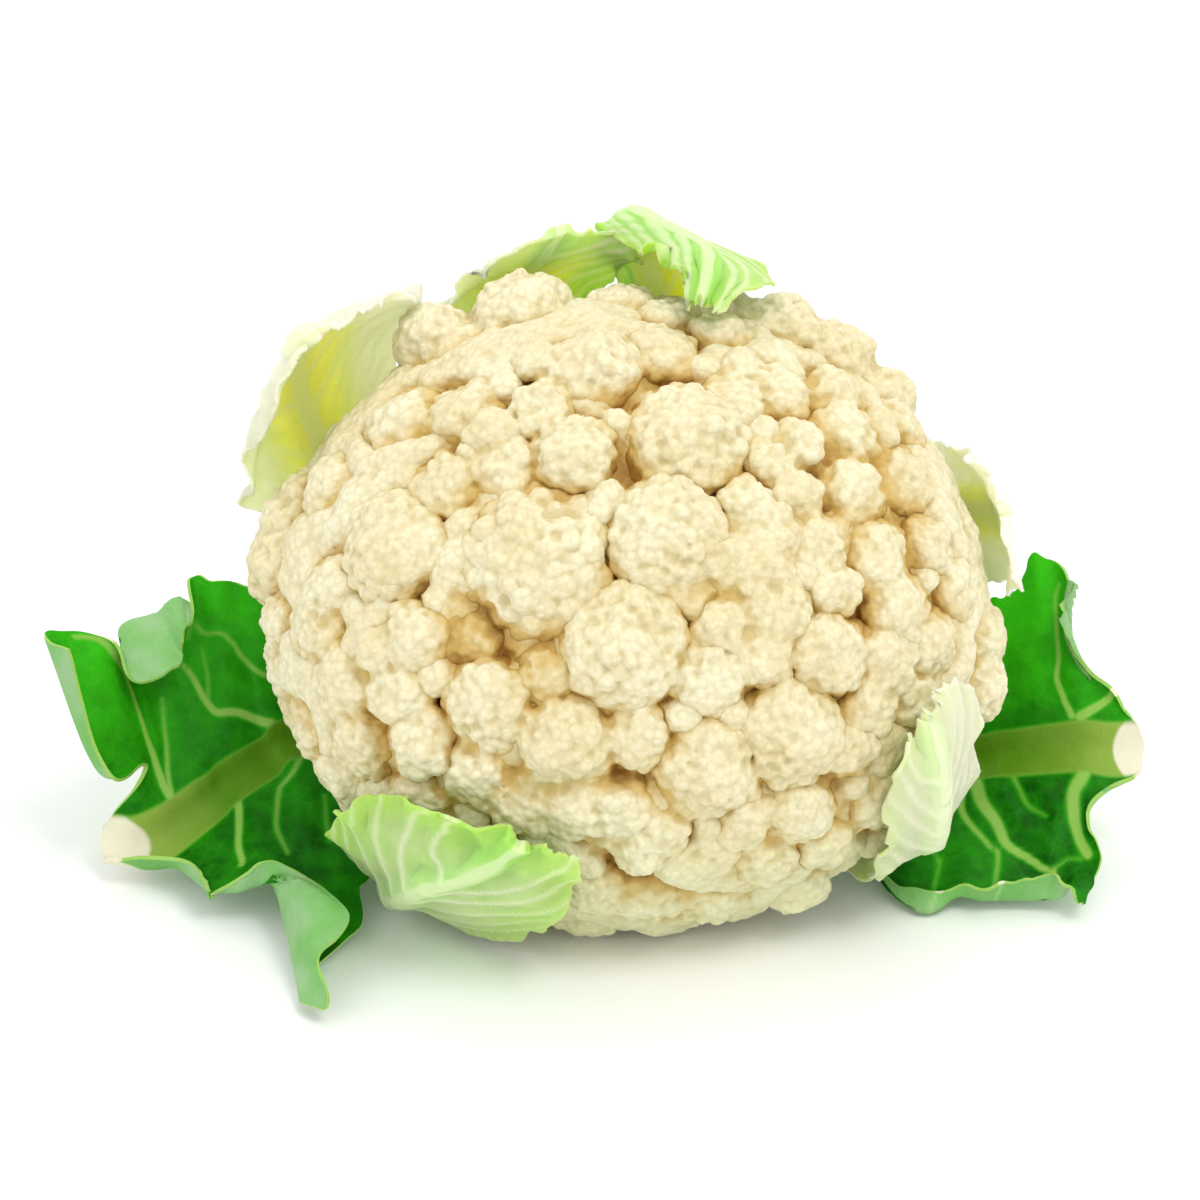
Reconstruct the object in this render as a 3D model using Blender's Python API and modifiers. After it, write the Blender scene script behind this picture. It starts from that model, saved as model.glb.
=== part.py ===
"""A trimmed head of cauliflower, lying tilted on its curd, its stalk end and its outer leaves.

The row frame is +Z up, in metres, with the origin at the middle of the flat where the curd rests.
The head has a frame of its own: across (+X), up its face, and forward along its axis, which rises
HEAD_TILT above the horizon towards -Y. Lengths in the tables are millimetres in that head frame,
and a clock angle runs clockwise from the top of the face, as seen from the front.
"""

import math

import bmesh
import bpy
import numpy as np
from mathutils import Matrix, Vector

MM = 0.001

# Driving sizes of the head, in millimetres and degrees
HEAD_TILT = math.radians(35)
CURD_HALF_WIDTH = 85.0
CURD_HALF_HEIGHT = 75.0
CURD_FRONT = 55.0
CURD_BACK = 40.0
HEAD_CENTRE = (0.0, 28.8, 65.6)

# The line of sight that the knolls of the curd are measured square to
SIGHT_TILT = math.radians(26)
SIGHT_DISTANCE = 760.0

# The stalk
STALK_TOP = -28.6
STALK_END = -78.0
STALK_TOP_RADIUS = 17.0
STALK_END_RADIUS = 20.5
STALK_ROUND = 1.6
GAP = 0.4

# The curd's surface
CORE_INSET = 14.0
KNOLL_OVERLAP = 1.0
CURD_VOXEL = 5.3
REST_KNOLL_RADIUS = 24.0
REST_DEPTH = 2.0

# Each floret is a cluster of knolls: across, up, radius, and how proud of the dome it stands
FLORETS = {
    "crown_left": (
        (-24, 65.5, 11, 0), (-38.5, 54.5, 11, 0), (-48.5, 40, 10, 0), (-36, 42, 9, 0),
        (-40.5, 26.5, 8.5, 0), (-44, 62, 8, 0), (-20.5, 56.5, 4, 1), (-20, 45, 6, 1),
        (-31, 40, 4.5, 1), (-28.5, 32, 6.5, 0), (-12, 34.5, 8.5, 2), (-7.5, 53.5, 10, 3),
    ),
    "crown_right": ((-0.5, 65.5, 8.5, 0), (7, 55.5, 8.5, 0), (9.5, 64.5, 6, 0)),
    "brow": ((13, 36, 14, 3),),
    "heart_right": ((8.5, 16, 12.5, 4), (14, 4.5, 6.5, -2)),
    "heart_left": ((-20, 10, 16.5, 4),),
    "heart_low": ((-0.5, -8.5, 13, 4),),
    "cheek_left": ((-50.5, 13.5, 12.5, 3),),
    "temple_left": ((-73, 20, 10.5, 0), (-65, 26.5, 8, 0), (-78, 11, 9, 0), (-65, 4.5, 8, 0)),
    "temple_right": (
        (20.5, 61, 6, 0), (26, 55, 4, 0), (23.5, 46.5, 7, 0), (33.5, 48, 7, 0), (35, 62, 9.5, 0),
        (47, 56.5, 9.5, 0), (26, 66, 6, 0), (45, 46.5, 8, 0), (57, 49, 7, 0),
    ),
    "shoulder_right": (
        (32, 33, 5, 0), (38, 36.5, 5.5, 0), (38, 25.5, 5, 0), (48, 38, 8.5, 0),
        (49.5, 25.5, 8, 0), (59.5, 40, 7.5, 0), (60.5, 28, 8, 0), (43, 14, 6, 0), (46, 4.5, 5.5, 0),
    ),
    "middle_right": (
        (26, 23.5, 5.5, 0), (32.5, 17.5, 6, 0), (27.5, 9, 8.5, 1), (32.5, -1, 8, 1),
        (21, -4, 5.5, 0), (29.5, -11, 6, 0), (20, 11, 6, 0),
    ),
    "flank_right": ((55, 11, 8, 0), (59.5, 0, 8.5, 0), (72.5, 4.5, 6.5, 0), (67, 14.5, 5.5, 0)),
    "cheek_right": ((44.5, -10, 8.5, 2), (17.5, -14.5, 8, 1)),
    "jowl_right": (
        (56, -12, 8.5, 0), (66, -8, 8, 0), (54, -21, 6, 0), (64, -20, 6, 0),
        (78, -6.5, 7.5, 0), (79, -18, 7, 0), (71.5, -23.5, 6, 0),
    ),
    "chin_right": ((35.5, -26.5, 11.5, 3),),
    "chin_middle": ((17.5, -34.5, 11.5, 2), (8.5, -50.5, 4.5, 0)),
    "low_right": (
        (37, -43.5, 9, 0), (44, -51, 6.5, 0), (53.5, -40, 9.5, 0), (58, -49, 6, 0), (49.5, -31.5, 5.5, 0),
    ),
    "low_middle": (
        (17.5, -61, 10, 0), (4, -62, 9, 0), (30, -53.5, 8.5, 0), (38, -61, 7.5, 0),
        (25.5, -47, 6, 0), (-8, -61, 7, 0),
    ),
    "flank_left": (
        (-66, -3.5, 10, 0), (-73, -12, 9.5, 0), (-62, -15.5, 8.5, 0), (-69, -25, 8.5, 0),
        (-58.5, -29.5, 8, 0), (-76, -2, 7, 0), (-63, -36.5, 6, 0), (-58, -9.5, 3.5, 1),
        (-48, -6, 7.5, 1), (-51.5, -19.5, 6.5, 1), (-46, -30, 6.5, 1),
    ),
    "middle_left": ((-34, -6.5, 8.5, -3), (-18.5, -14.5, 7, -2)),
    "low_left": (
        (-31.5, -21, 9.5, 2), (-14, -29.5, 9.5, 3), (-33, -36.5, 8.5, 0), (-23, -42, 8.5, 0),
        (-12.5, -43.5, 7.5, 0), (2, -28, 7, 0), (-2.5, -44.5, 9.5, 0), (2.5, -53.5, 5, 0),
        (-39.5, -49, 8, 0), (-24, -55.5, 8, 0), (-46, -42, 7, 0),
    ),
}

# Rings of knolls round the hidden back of the curd: count, share of the rim radius, forward, radius
BACK_RINGS = ((22, 0.86, -4.0, 11.0), (19, 0.77, -16.0, 10.5), (13, 0.55, -26.0, 10.0))

# Places across a leaf, as shares of its half width, and how thick the sheet is there
INNER_SHARES = (-1.0, -0.52, -0.15, 0.15, 0.52, 1.0)
INNER_THICKNESS = (0.2, 0.26, 1.0, 1.0, 0.26, 0.2)
OUTER_SHARES = (-1.0, -0.66, -0.34, -0.11, 0.11, 0.34, 0.66, 1.0)
OUTER_THICKNESS = (0.18, 0.2, 0.24, 1.0, 1.0, 0.24, 0.2, 0.18)
INNER_RIB = 5.0
OUTER_RIB = 7.0
LEAF_STEPS = 2
FOOT_LENGTH = 6.0
FOOT_FLARE = 3.6

# Inner leaves. The foot: clock, forward and half width on the stalk. Then stations up to the tip:
# clock, reach as a share of the dome's rim radius at that clock angle, forward, and the half width
# on the anticlockwise and on the clockwise side
INNER_LEAVES = {
    "leaf_front": (
        (194.5, -59, 7),
        (
            (203, 0.52, -45, 10, 11), (214, 0.82, -30, 9, 18), (219, 1.03, -10, 12, 20),
            (218, 1.03, 4, 28, 21), (215, 0.985, 19, 30, 25), (208, 0.90, 31, 22, 27),
            (202, 0.80, 42, 12, 17),
        ),
    ),
    "leaf_lower_right": (
        (142, -54, 6),
        (
            (139, 0.52, -43, 9, 10), (131, 0.86, -28, 13, 12), (127, 1.04, -9, 13, 15),
            (126, 1.035, 5, 15, 16), (123, 0.985, 17, 18, 16), (119, 0.915, 29, 17, 14),
            (115, 0.84, 37, 9, 9),
        ),
    ),
    "leaf_right": (
        (57, -59, 6),
        (
            (62, 0.55, -48, 10, 10), (68, 0.87, -32, 16, 18), (73, 1.035, -12, 20, 16),
            (74, 1.03, 2, 20, 18), (74, 1.005, 12, 15, 14),
        ),
    ),
    "leaf_upper_left": (
        (279.5, -54, 6),
        (
            (286, 0.54, -44, 12, 12), (296, 0.88, -29, 20, 20), (303, 1.09, -10, 27, 27),
            (307, 1.165, 4, 29, 30), (309, 1.17, 14, 24, 27), (310, 1.12, 22, 14, 16),
        ),
    ),
    "leaf_top_left": (
        (332, -59, 6),
        (
            (336, 0.55, -48, 10, 12), (340, 0.88, -33, 18, 15), (343, 1.08, -13, 24, 14),
            (347, 1.12, 0, 26, 16), (350, 1.16, 8, 17, 11),
        ),
    ),
    "leaf_top_right": (
        (4.5, -54, 6),
        (
            (5, 0.54, -43, 9, 10), (5, 0.87, -28, 10, 14), (4, 1.07, -9, 8, 19),
            (0, 1.20, 2, 7, 24), (8, 1.10, 13, 9, 21), (13, 1.02, 23, 8, 15), (14, 0.86, 34, 3, 5),
        ),
    ),
}

# Outer leaves. The foot, as above. Then rows from near the stalk to the trimmed edge, each
# clockwise across the leaf: across and up as seen along the line of sight, and forward
OUTER_LEAVES = {
    "leaf_outer_left": (
        (247, -67, 8.5),
        (
            ((-40.5, -44.5, -50), (-42, -39, -52), (-44, -33.5, -54), (-45.5, -29, -55),
             (-47.5, -24.5, -55), (-49.5, -20, -54), (-51.5, -13, -52), (-52.5, -5.5, -50)),
            ((-56, -58, -20), (-58, -53, -24), (-65, -43, -31), (-73, -33, -36),
             (-76.5, -25, -36), (-79, -15.5, -36), (-80, -6.5, -33), (-81.5, 4.5, -28)),
            ((-61, -66, -13), (-64.5, -59, -18), (-72, -49, -26), (-79.5, -38, -34),
             (-83.5, -29.5, -34), (-86, -17.5, -34), (-88.5, -5, -31), (-90.5, 6.5, -26)),
            ((-61, -72.5, -4), (-68, -65, -11), (-77, -54, -22), (-85, -42, -32),
             (-89.5, -32.5, -32), (-92, -19, -32), (-96, -5, -30), (-98.5, 7.5, -26)),
            ((-71.5, -91, 23), (-77.5, -76, 6), (-82, -58, -16), (-90, -46, -31),
             (-94.5, -36, -31), (-97, -21.5, -31), (-101.3, 3, -28), (-100.7, -3, -22)),
            ((-64, -69, 12), (-73.5, -62, 4), (-86, -59, -15), (-94.5, -49.5, -30),
             (-99, -39.5, -30), (-101, -25, -31), (-109, -1.5, -28), (-102.5, -12.5, -17)),
            ((-79, -58.7, -2), (-82, -63, -7), (-91, -59.5, -18), (-99, -52.5, -29),
             (-103, -42.5, -29), (-105, -28, -30), (-116, -5, -26), (-110.5, -16.5, -15)),
            ((-87.5, -60.5, -5), (-89.5, -64.5, -9), (-96.5, -60, -20), (-103.5, -55.5, -27),
             (-107.5, -45.5, -27), (-108.5, -33, -27), (-113.5, -18, -22), (-119.5, -6.5, -16)),
            ((-94.5, -65.5, -9), (-97, -63.5, -13), (-103, -59, -21), (-110.5, -57.5, -25),
             (-113, -48, -25), (-109.7, -34.5, -25), (-121, -35, -14), (-134, -5, -10)),
            ((-95, -64, -6), (-97, -61.5, -9), (-101, -57.5, -15), (-117.5, -56, -24),
             (-118.5, -49, -24), (-109.7, -36, -23), (-118.5, -37.5, -10), (-127.5, -9, -2)),
        ),
    ),
    "leaf_outer_right": (
        (109.5, -67, 8.5),
        (
            ((52.5, -4.5, -50), (52.5, -11.5, -52), (50.5, -17, -54), (48.5, -21, -55),
             (47.5, -25.5, -55), (46, -31, -54), (44, -37, -52), (42, -42.5, -50)),
            ((79, 1, -36), (78, -10, -38), (76.5, -22, -40), (76, -29.5, -40),
             (75.5, -36.5, -40), (70, -48, -34), (62.5, -66, -19), (58.5, -61, -20)),
            ((88.5, 4, -30), (88, -9, -32), (86, -22, -34), (85, -29, -34.5),
             (85, -37.5, -34.5), (81, -50, -29), (77, -65, -18), (78, -63.5, -12)),
            ((93.5, 11.5, -26), (95.5, -7, -28), (95, -20.5, -29), (95, -26.5, -29.5),
             (95, -38, -29.5), (91.5, -49.5, -27), (88.5, -65.5, -18), (90, -61.2, -11)),
            ((102, 7.2, -22), (100, -6, -25), (102, -19, -25), (103.5, -25, -25.5),
             (103.5, -38, -25.5), (98.5, -49.5, -24), (97.5, -66, -16), (97.5, -61, -11)),
            ((100, 1.5, -21.5), (102, -9, -24.5), (108, -18.5, -24), (110, -25.5, -24),
             (110, -38.5, -24), (103.5, -47.5, -23), (103.5, -60, -17), (101.5, -65.5, -11)),
            ((99.5, -2, -20), (104, -11.5, -22), (112, -20.5, -22), (116.5, -27.5, -23),
             (116.5, -36.5, -23), (105.5, -45, -21), (108, -56.5, -16), (104.5, -67.5, -11)),
        ),
    ),
}

# Bases left where the oldest leaves were cut away: clock, then rows of radius, forward, half width
LEAF_BASES = {
    "cut_base_upper_right": (27.0, ((21.0, -72, 8.0), (30, -70.5, 8.5), (41, -66.5, 8.5))),
    "cut_base_lower": (162.0, ((21.0, -69, 8.0), (27, -67.5, 8.5), (33, -63, 8.5))),
    "cut_base_upper_left": (303.0, ((21.0, -72, 8.0), (30, -70.5, 8.5), (42, -66, 8.5))),
}
BASE_THICKNESS = 6.5

CREAM = (0.86, 0.76, 0.52, 1.0)
PALE_STALK = (0.72, 0.74, 0.50, 1.0)
PALE_GREEN = (0.55, 0.70, 0.28, 1.0)
DARK_GREEN = (0.02, 0.22, 0.01, 1.0)


def head_matrix():
    """From the head frame in millimetres to the row frame in metres."""
    across = Vector((1, 0, 0))
    up = Vector((0, math.sin(HEAD_TILT), math.cos(HEAD_TILT)))
    forward = Vector((0, -math.cos(HEAD_TILT), math.sin(HEAD_TILT)))
    turn = Matrix((across, up, forward)).transposed().to_4x4()
    return Matrix.Translation(Vector(HEAD_CENTRE) * MM) @ turn @ Matrix.Scale(MM, 4)


def material(name, colour, roughness):
    made = bpy.data.materials.new(name)
    made.use_nodes = True
    shader = made.node_tree.nodes["Principled BSDF"]
    shader.inputs["Base Color"].default_value = colour
    shader.inputs["Roughness"].default_value = roughness
    return made


def dome_radius(clock):
    """The dome's own radius at its rim, at a clock angle in degrees."""
    turn = math.radians(clock)
    return 1 / math.hypot(math.sin(turn) / CURD_HALF_WIDTH, math.cos(turn) / CURD_HALF_HEIGHT)


def polar(clock, radius, forward):
    turn = math.radians(clock)
    return Vector((radius * math.sin(turn), radius * math.cos(turn), forward))


def line_of_sight(across, up):
    """The eye, and the ray from it through a place across and up the plane at the head's middle."""
    drop = HEAD_TILT - SIGHT_TILT
    eye = Vector((0, -math.sin(drop), math.cos(drop))) * SIGHT_DISTANCE
    rise = Vector((0, math.cos(drop), math.sin(drop)))
    return eye, Vector((across, 0, 0)) + rise * up - eye


def sighted(across, up, forward):
    """The place on a line of sight that lies this far forward in the head frame."""
    eye, ray = line_of_sight(across, up)
    return eye + ray * ((forward - eye.z) / ray.z)


def on_dome(across, up, radius, proud):
    """Centre of a knoll whose top lies on the dome, where the line of sight at (across, up) meets it."""
    eye, ray = line_of_sight(across, up)
    half = Vector((CURD_HALF_WIDTH, CURD_HALF_HEIGHT, CURD_FRONT)) - Vector((1, 1, 1)) * (radius - proud)
    start = Vector(e / h for e, h in zip(eye, half))
    step = Vector(r / h for r, h in zip(ray, half))
    a, b, c = step.dot(step), start.dot(step), start.dot(start) - 1
    reach = (-b - math.sqrt(max(b * b - a * c, 0))) / a
    return eye + ray * reach


def collected(obj, collection):
    for other in obj.users_collection:
        other.objects.unlink(obj)
    collection.objects.link(obj)
    return obj


def mesh_object(name, mesh, collection, finish):
    made = bpy.data.objects.new(name, mesh)
    collection.objects.link(made)
    made.data.materials.append(finish)
    return made


def add_ball(shapes, centre, radius, subdivisions=2):
    placed = Matrix.Translation(centre) @ Matrix.Scale(radius, 4)
    bmesh.ops.create_icosphere(shapes, subdivisions=subdivisions, radius=1, matrix=placed)


def add_core(shapes):
    """The solid heart of the curd, inside the knolls, deeper in front than behind."""
    made = bmesh.ops.create_uvsphere(shapes, u_segments=32, v_segments=20, radius=1)
    for vertex in made["verts"]:
        depth = CURD_FRONT if vertex.co.z > 0 else CURD_BACK
        vertex.co.x *= CURD_HALF_WIDTH - CORE_INSET
        vertex.co.y *= CURD_HALF_HEIGHT - CORE_INSET
        vertex.co.z *= depth - CORE_INSET


def rest_knoll_centre(head):
    """In the head frame, the knoll whose lowest point dips REST_DEPTH below the resting surface."""
    low = Vector((0, 0, REST_KNOLL_RADIUS - REST_DEPTH)) * MM
    return head.inverted() @ low


def cutter_box(name, low, high, collection):
    size = [h - l for l, h in zip(low, high)]
    middle = [(h + l) / 2 for l, h in zip(low, high)]
    bpy.ops.mesh.primitive_cube_add(size=1, location=middle, scale=size)
    bpy.ops.object.transform_apply(scale=True)
    box = collected(bpy.context.object, collection)
    box.name = name
    hidden(box)
    return box


def hidden(obj):
    obj.hide_render = True
    obj.display_type = "WIRE"


def difference(obj, cutter):
    cut = obj.modifiers.new("cut_" + cutter.name, "BOOLEAN")
    cut.operation = "DIFFERENCE"
    cut.object = cutter


def make_curd(head, parts, cutters, finish):
    """One solid of knolls on a core, flat where it rests and hollowed for the top of the stalk."""
    shapes = bmesh.new()
    add_core(shapes)
    for knolls in FLORETS.values():
        for across, up, radius, proud in knolls:
            add_ball(shapes, on_dome(across, up, radius, proud), radius * KNOLL_OVERLAP)
    for count, share, forward, radius in BACK_RINGS:
        for i in range(count):
            clock = 360 * (i + 0.5) / count
            add_ball(shapes, polar(clock, share * dome_radius(clock), forward), radius)
    add_ball(shapes, rest_knoll_centre(head), REST_KNOLL_RADIUS, 3)
    shapes.transform(head)
    mesh = bpy.data.meshes.new("curd")
    shapes.to_mesh(mesh)
    shapes.free()
    curd = mesh_object("curd", mesh, parts, finish)
    remesh = curd.modifiers.new("one_skin", "REMESH")
    remesh.mode = "VOXEL"
    remesh.voxel_size = CURD_VOXEL * MM
    floor = cutter_box("resting_surface", (-0.2, -0.2, -0.1), (0.2, 0.2, 0), cutters)
    difference(curd, floor)
    socket = turned("stalk_socket", ((STALK_TOP_RADIUS + 3, STALK_TOP + GAP), (STALK_TOP_RADIUS + 3, -62)), head)
    difference(curd, collected(socket, cutters))
    hidden(socket)
    return curd


def turned(name, profile, head):
    """A closed solid turned about the head's axis from (radius, forward) corners, front to back."""
    shapes = bmesh.new()
    front, back = profile[0][1], profile[-1][1]
    points = [(0, front), *profile, (0, back)]
    corners = [shapes.verts.new((radius, 0, forward)) for radius, forward in points]
    edges = [shapes.edges.new(pair) for pair in zip(corners, corners[1:])]
    bmesh.ops.spin(
        shapes, geom=corners + edges, cent=(0, 0, 0), axis=(0, 0, 1), angle=math.tau, steps=28, use_merge=True
    )
    bmesh.ops.remove_doubles(shapes, verts=shapes.verts, dist=0.01)
    bmesh.ops.recalc_face_normals(shapes, faces=shapes.faces)
    shapes.transform(head)
    mesh = bpy.data.meshes.new(name)
    shapes.to_mesh(mesh)
    shapes.free()
    made = bpy.data.objects.new(name, mesh)
    bpy.context.scene.collection.objects.link(made)
    return made


def make_stalk(head, parts, finish):
    """The stalk, from inside the curd to the flat where it was cut from the root."""
    profile = (
        (STALK_TOP_RADIUS, STALK_TOP),
        (STALK_TOP_RADIUS, -50),
        (18.5, -62),
        (STALK_END_RADIUS, -74),
        (STALK_END_RADIUS, STALK_END + STALK_ROUND),
        (STALK_END_RADIUS - STALK_ROUND, STALK_END),
    )
    stalk = turned("stalk", profile, head)
    stalk.data.materials.append(finish)
    return collected(stalk, parts)


def curve_weights(count, steps):
    """Weights that run a smooth curve through count values, with steps between one and the next."""
    places = np.linspace(0, count - 1, (count - 1) * steps + 1)
    weights = np.zeros((len(places), count + 2))
    for row, place in enumerate(places):
        i = min(int(place), count - 2)
        t = place - i
        near = (-(t**3) + 2 * t**2 - t, 3 * t**3 - 5 * t**2 + 2, -3 * t**3 + 4 * t**2 + t, t**3 - t**2)
        weights[row, i : i + 4] = np.array(near) / 2
    inner = weights[:, 1:-1].copy()
    inner[:, 0] += 2 * weights[:, 0]
    inner[:, 1] -= weights[:, 0]
    inner[:, -1] += 2 * weights[:, -1]
    inner[:, -2] -= weights[:, -1]
    return inner


def sheet_leaf(name, cage, shares, thickness, head, parts, finish):
    """A leaf through the rows of its cage, thickened away from the curd, most along its midrib."""
    rows, columns = len(cage), len(shares)
    down, over = curve_weights(rows, LEAF_STEPS), curve_weights(columns, LEAF_STEPS)
    points = np.einsum("ui,vj,ijk->uvk", down, over, np.array([[tuple(p) for p in row] for row in cage]))
    across = np.interp(np.linspace(0, columns - 1, points.shape[1]), np.arange(columns), shares)
    shapes = bmesh.new()
    grid = [[shapes.verts.new(point) for point in row] for row in points]
    for lower, upper in zip(grid, grid[1:]):
        for i in range(len(lower) - 1):
            shapes.faces.new((lower[i], lower[i + 1], upper[i + 1], upper[i]))
    shapes.transform(head)
    mesh = bpy.data.meshes.new(name)
    shapes.to_mesh(mesh)
    shapes.free()
    leaf = mesh_object(name, mesh, parts, finish)
    group = leaf.vertex_groups.new(name="thickness")
    for i in range(len(mesh.vertices)):
        row, column = divmod(i, len(across))
        towards_foot = 1 - row / (len(grid) - 1)
        share = across[column] + (1 - across[column]) * max(0, towards_foot * 2.2 - 1.4)
        group.add([i], float(share * (0.55 + 0.45 * towards_foot)), "REPLACE")
    solid = leaf.modifiers.new("thickness", "SOLIDIFY")
    solid.thickness = thickness * MM
    solid.offset = -1
    solid.vertex_group = group.name
    return leaf


def base_row(clock, radius, forward, half_width, shares):
    """Points round the stalk, clockwise, for the foot of a leaf."""
    spread = math.degrees(half_width / radius)
    return [polar(clock + share * spread, radius, forward) for share in shares]


def foot_rows(clock, forward, half_width, shares):
    """A leaf's foot runs along the stalk before it turns outwards."""
    radius = STALK_END_RADIUS + GAP
    return [
        base_row(clock, radius, forward - FOOT_LENGTH, half_width, shares),
        base_row(clock, radius + FOOT_FLARE, forward, half_width, shares),
    ]


def inner_rows(stations):
    """The cage of a leaf that cups the curd: it follows the dome's rim at its own distance."""
    rows = []
    for clock, reach, forward, before, after in stations:
        radius = reach * dome_radius(clock)
        row = []
        for share in INNER_SHARES:
            side = before if share < 0 else after
            here = clock + math.degrees(share * side / radius)
            cupped = reach - max(reach - 1.03, 0) * share * share * min(side / 48, 0.5)
            row.append(polar(here, cupped * dome_radius(here), forward))
        rows.append(row)
    return rows


def make_leaves(head, parts, pale, dark):
    for name, (foot, stations) in INNER_LEAVES.items():
        rows = foot_rows(*foot, INNER_SHARES) + inner_rows(stations)
        sheet_leaf(name, rows, INNER_THICKNESS, INNER_RIB, head, parts, pale)
    for name, (foot, blade) in OUTER_LEAVES.items():
        rows = foot_rows(*foot, OUTER_SHARES) + [[sighted(*place) for place in row] for row in blade]
        sheet_leaf(name, rows, OUTER_THICKNESS, OUTER_RIB, head, parts, dark)
    for name, (clock, sizes) in LEAF_BASES.items():
        cage = [base_row(clock, radius, forward, width, INNER_SHARES) for radius, forward, width in sizes]
        sheet_leaf(name, cage, INNER_THICKNESS, BASE_THICKNESS, head, parts, pale)


def main():
    for obj in list(bpy.data.objects):
        bpy.data.objects.remove(obj)
    parts = bpy.data.collections.new("cauliflower")
    cutters = bpy.data.collections.new("cutters")
    for collection in (parts, cutters):
        bpy.context.scene.collection.children.link(collection)
    head = head_matrix()
    make_curd(head, parts, cutters, material("curd", CREAM, 0.6))
    make_stalk(head, parts, material("stalk", PALE_STALK, 0.5))
    make_leaves(head, parts, material("pale_leaf", PALE_GREEN, 0.5), material("dark_leaf", DARK_GREEN, 0.4))


main()
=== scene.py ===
"""A trimmed head of cauliflower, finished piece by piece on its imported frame.

The tables of sizes are in millimetres in the head's own frame: across (+X), up the face of the curd,
and forward along the head's axis, which rises above the horizon towards -Y. A clock angle runs
clockwise from the top of the face, as seen from the front.
"""

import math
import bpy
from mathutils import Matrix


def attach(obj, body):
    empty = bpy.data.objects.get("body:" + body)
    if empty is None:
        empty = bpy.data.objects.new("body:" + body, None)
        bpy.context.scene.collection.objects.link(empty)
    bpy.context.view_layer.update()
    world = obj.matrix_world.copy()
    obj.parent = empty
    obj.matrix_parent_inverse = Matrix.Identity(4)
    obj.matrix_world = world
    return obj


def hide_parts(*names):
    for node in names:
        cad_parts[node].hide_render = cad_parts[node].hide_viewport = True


bl_info = {
    "name": "Cauliflower",
    "version": (1, 0, 0),
    "blender": (4, 5, 0),
    "location": "3D View > Sidebar > Cauliflower",
    "description": "Grows the florets, leaves and stalk of a trimmed cauliflower on its packed frame",
    "category": "Add Mesh",
}

import bpy
import numpy as np
from bpy.props import FloatProperty, FloatVectorProperty, IntProperty, PointerProperty
from mathutils import Matrix, Vector, noise

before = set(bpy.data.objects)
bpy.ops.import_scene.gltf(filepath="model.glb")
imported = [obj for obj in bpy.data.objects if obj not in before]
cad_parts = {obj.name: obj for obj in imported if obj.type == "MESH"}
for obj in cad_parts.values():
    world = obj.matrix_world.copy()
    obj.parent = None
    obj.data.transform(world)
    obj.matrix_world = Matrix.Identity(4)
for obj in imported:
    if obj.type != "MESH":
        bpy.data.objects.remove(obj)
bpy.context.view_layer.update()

MM = 0.001
GOLDEN_ANGLE = math.radians(137.508)

# Seed of the knobs' wander, without which they would lie otherwise in each run
KNOB_SEED = 1

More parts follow.
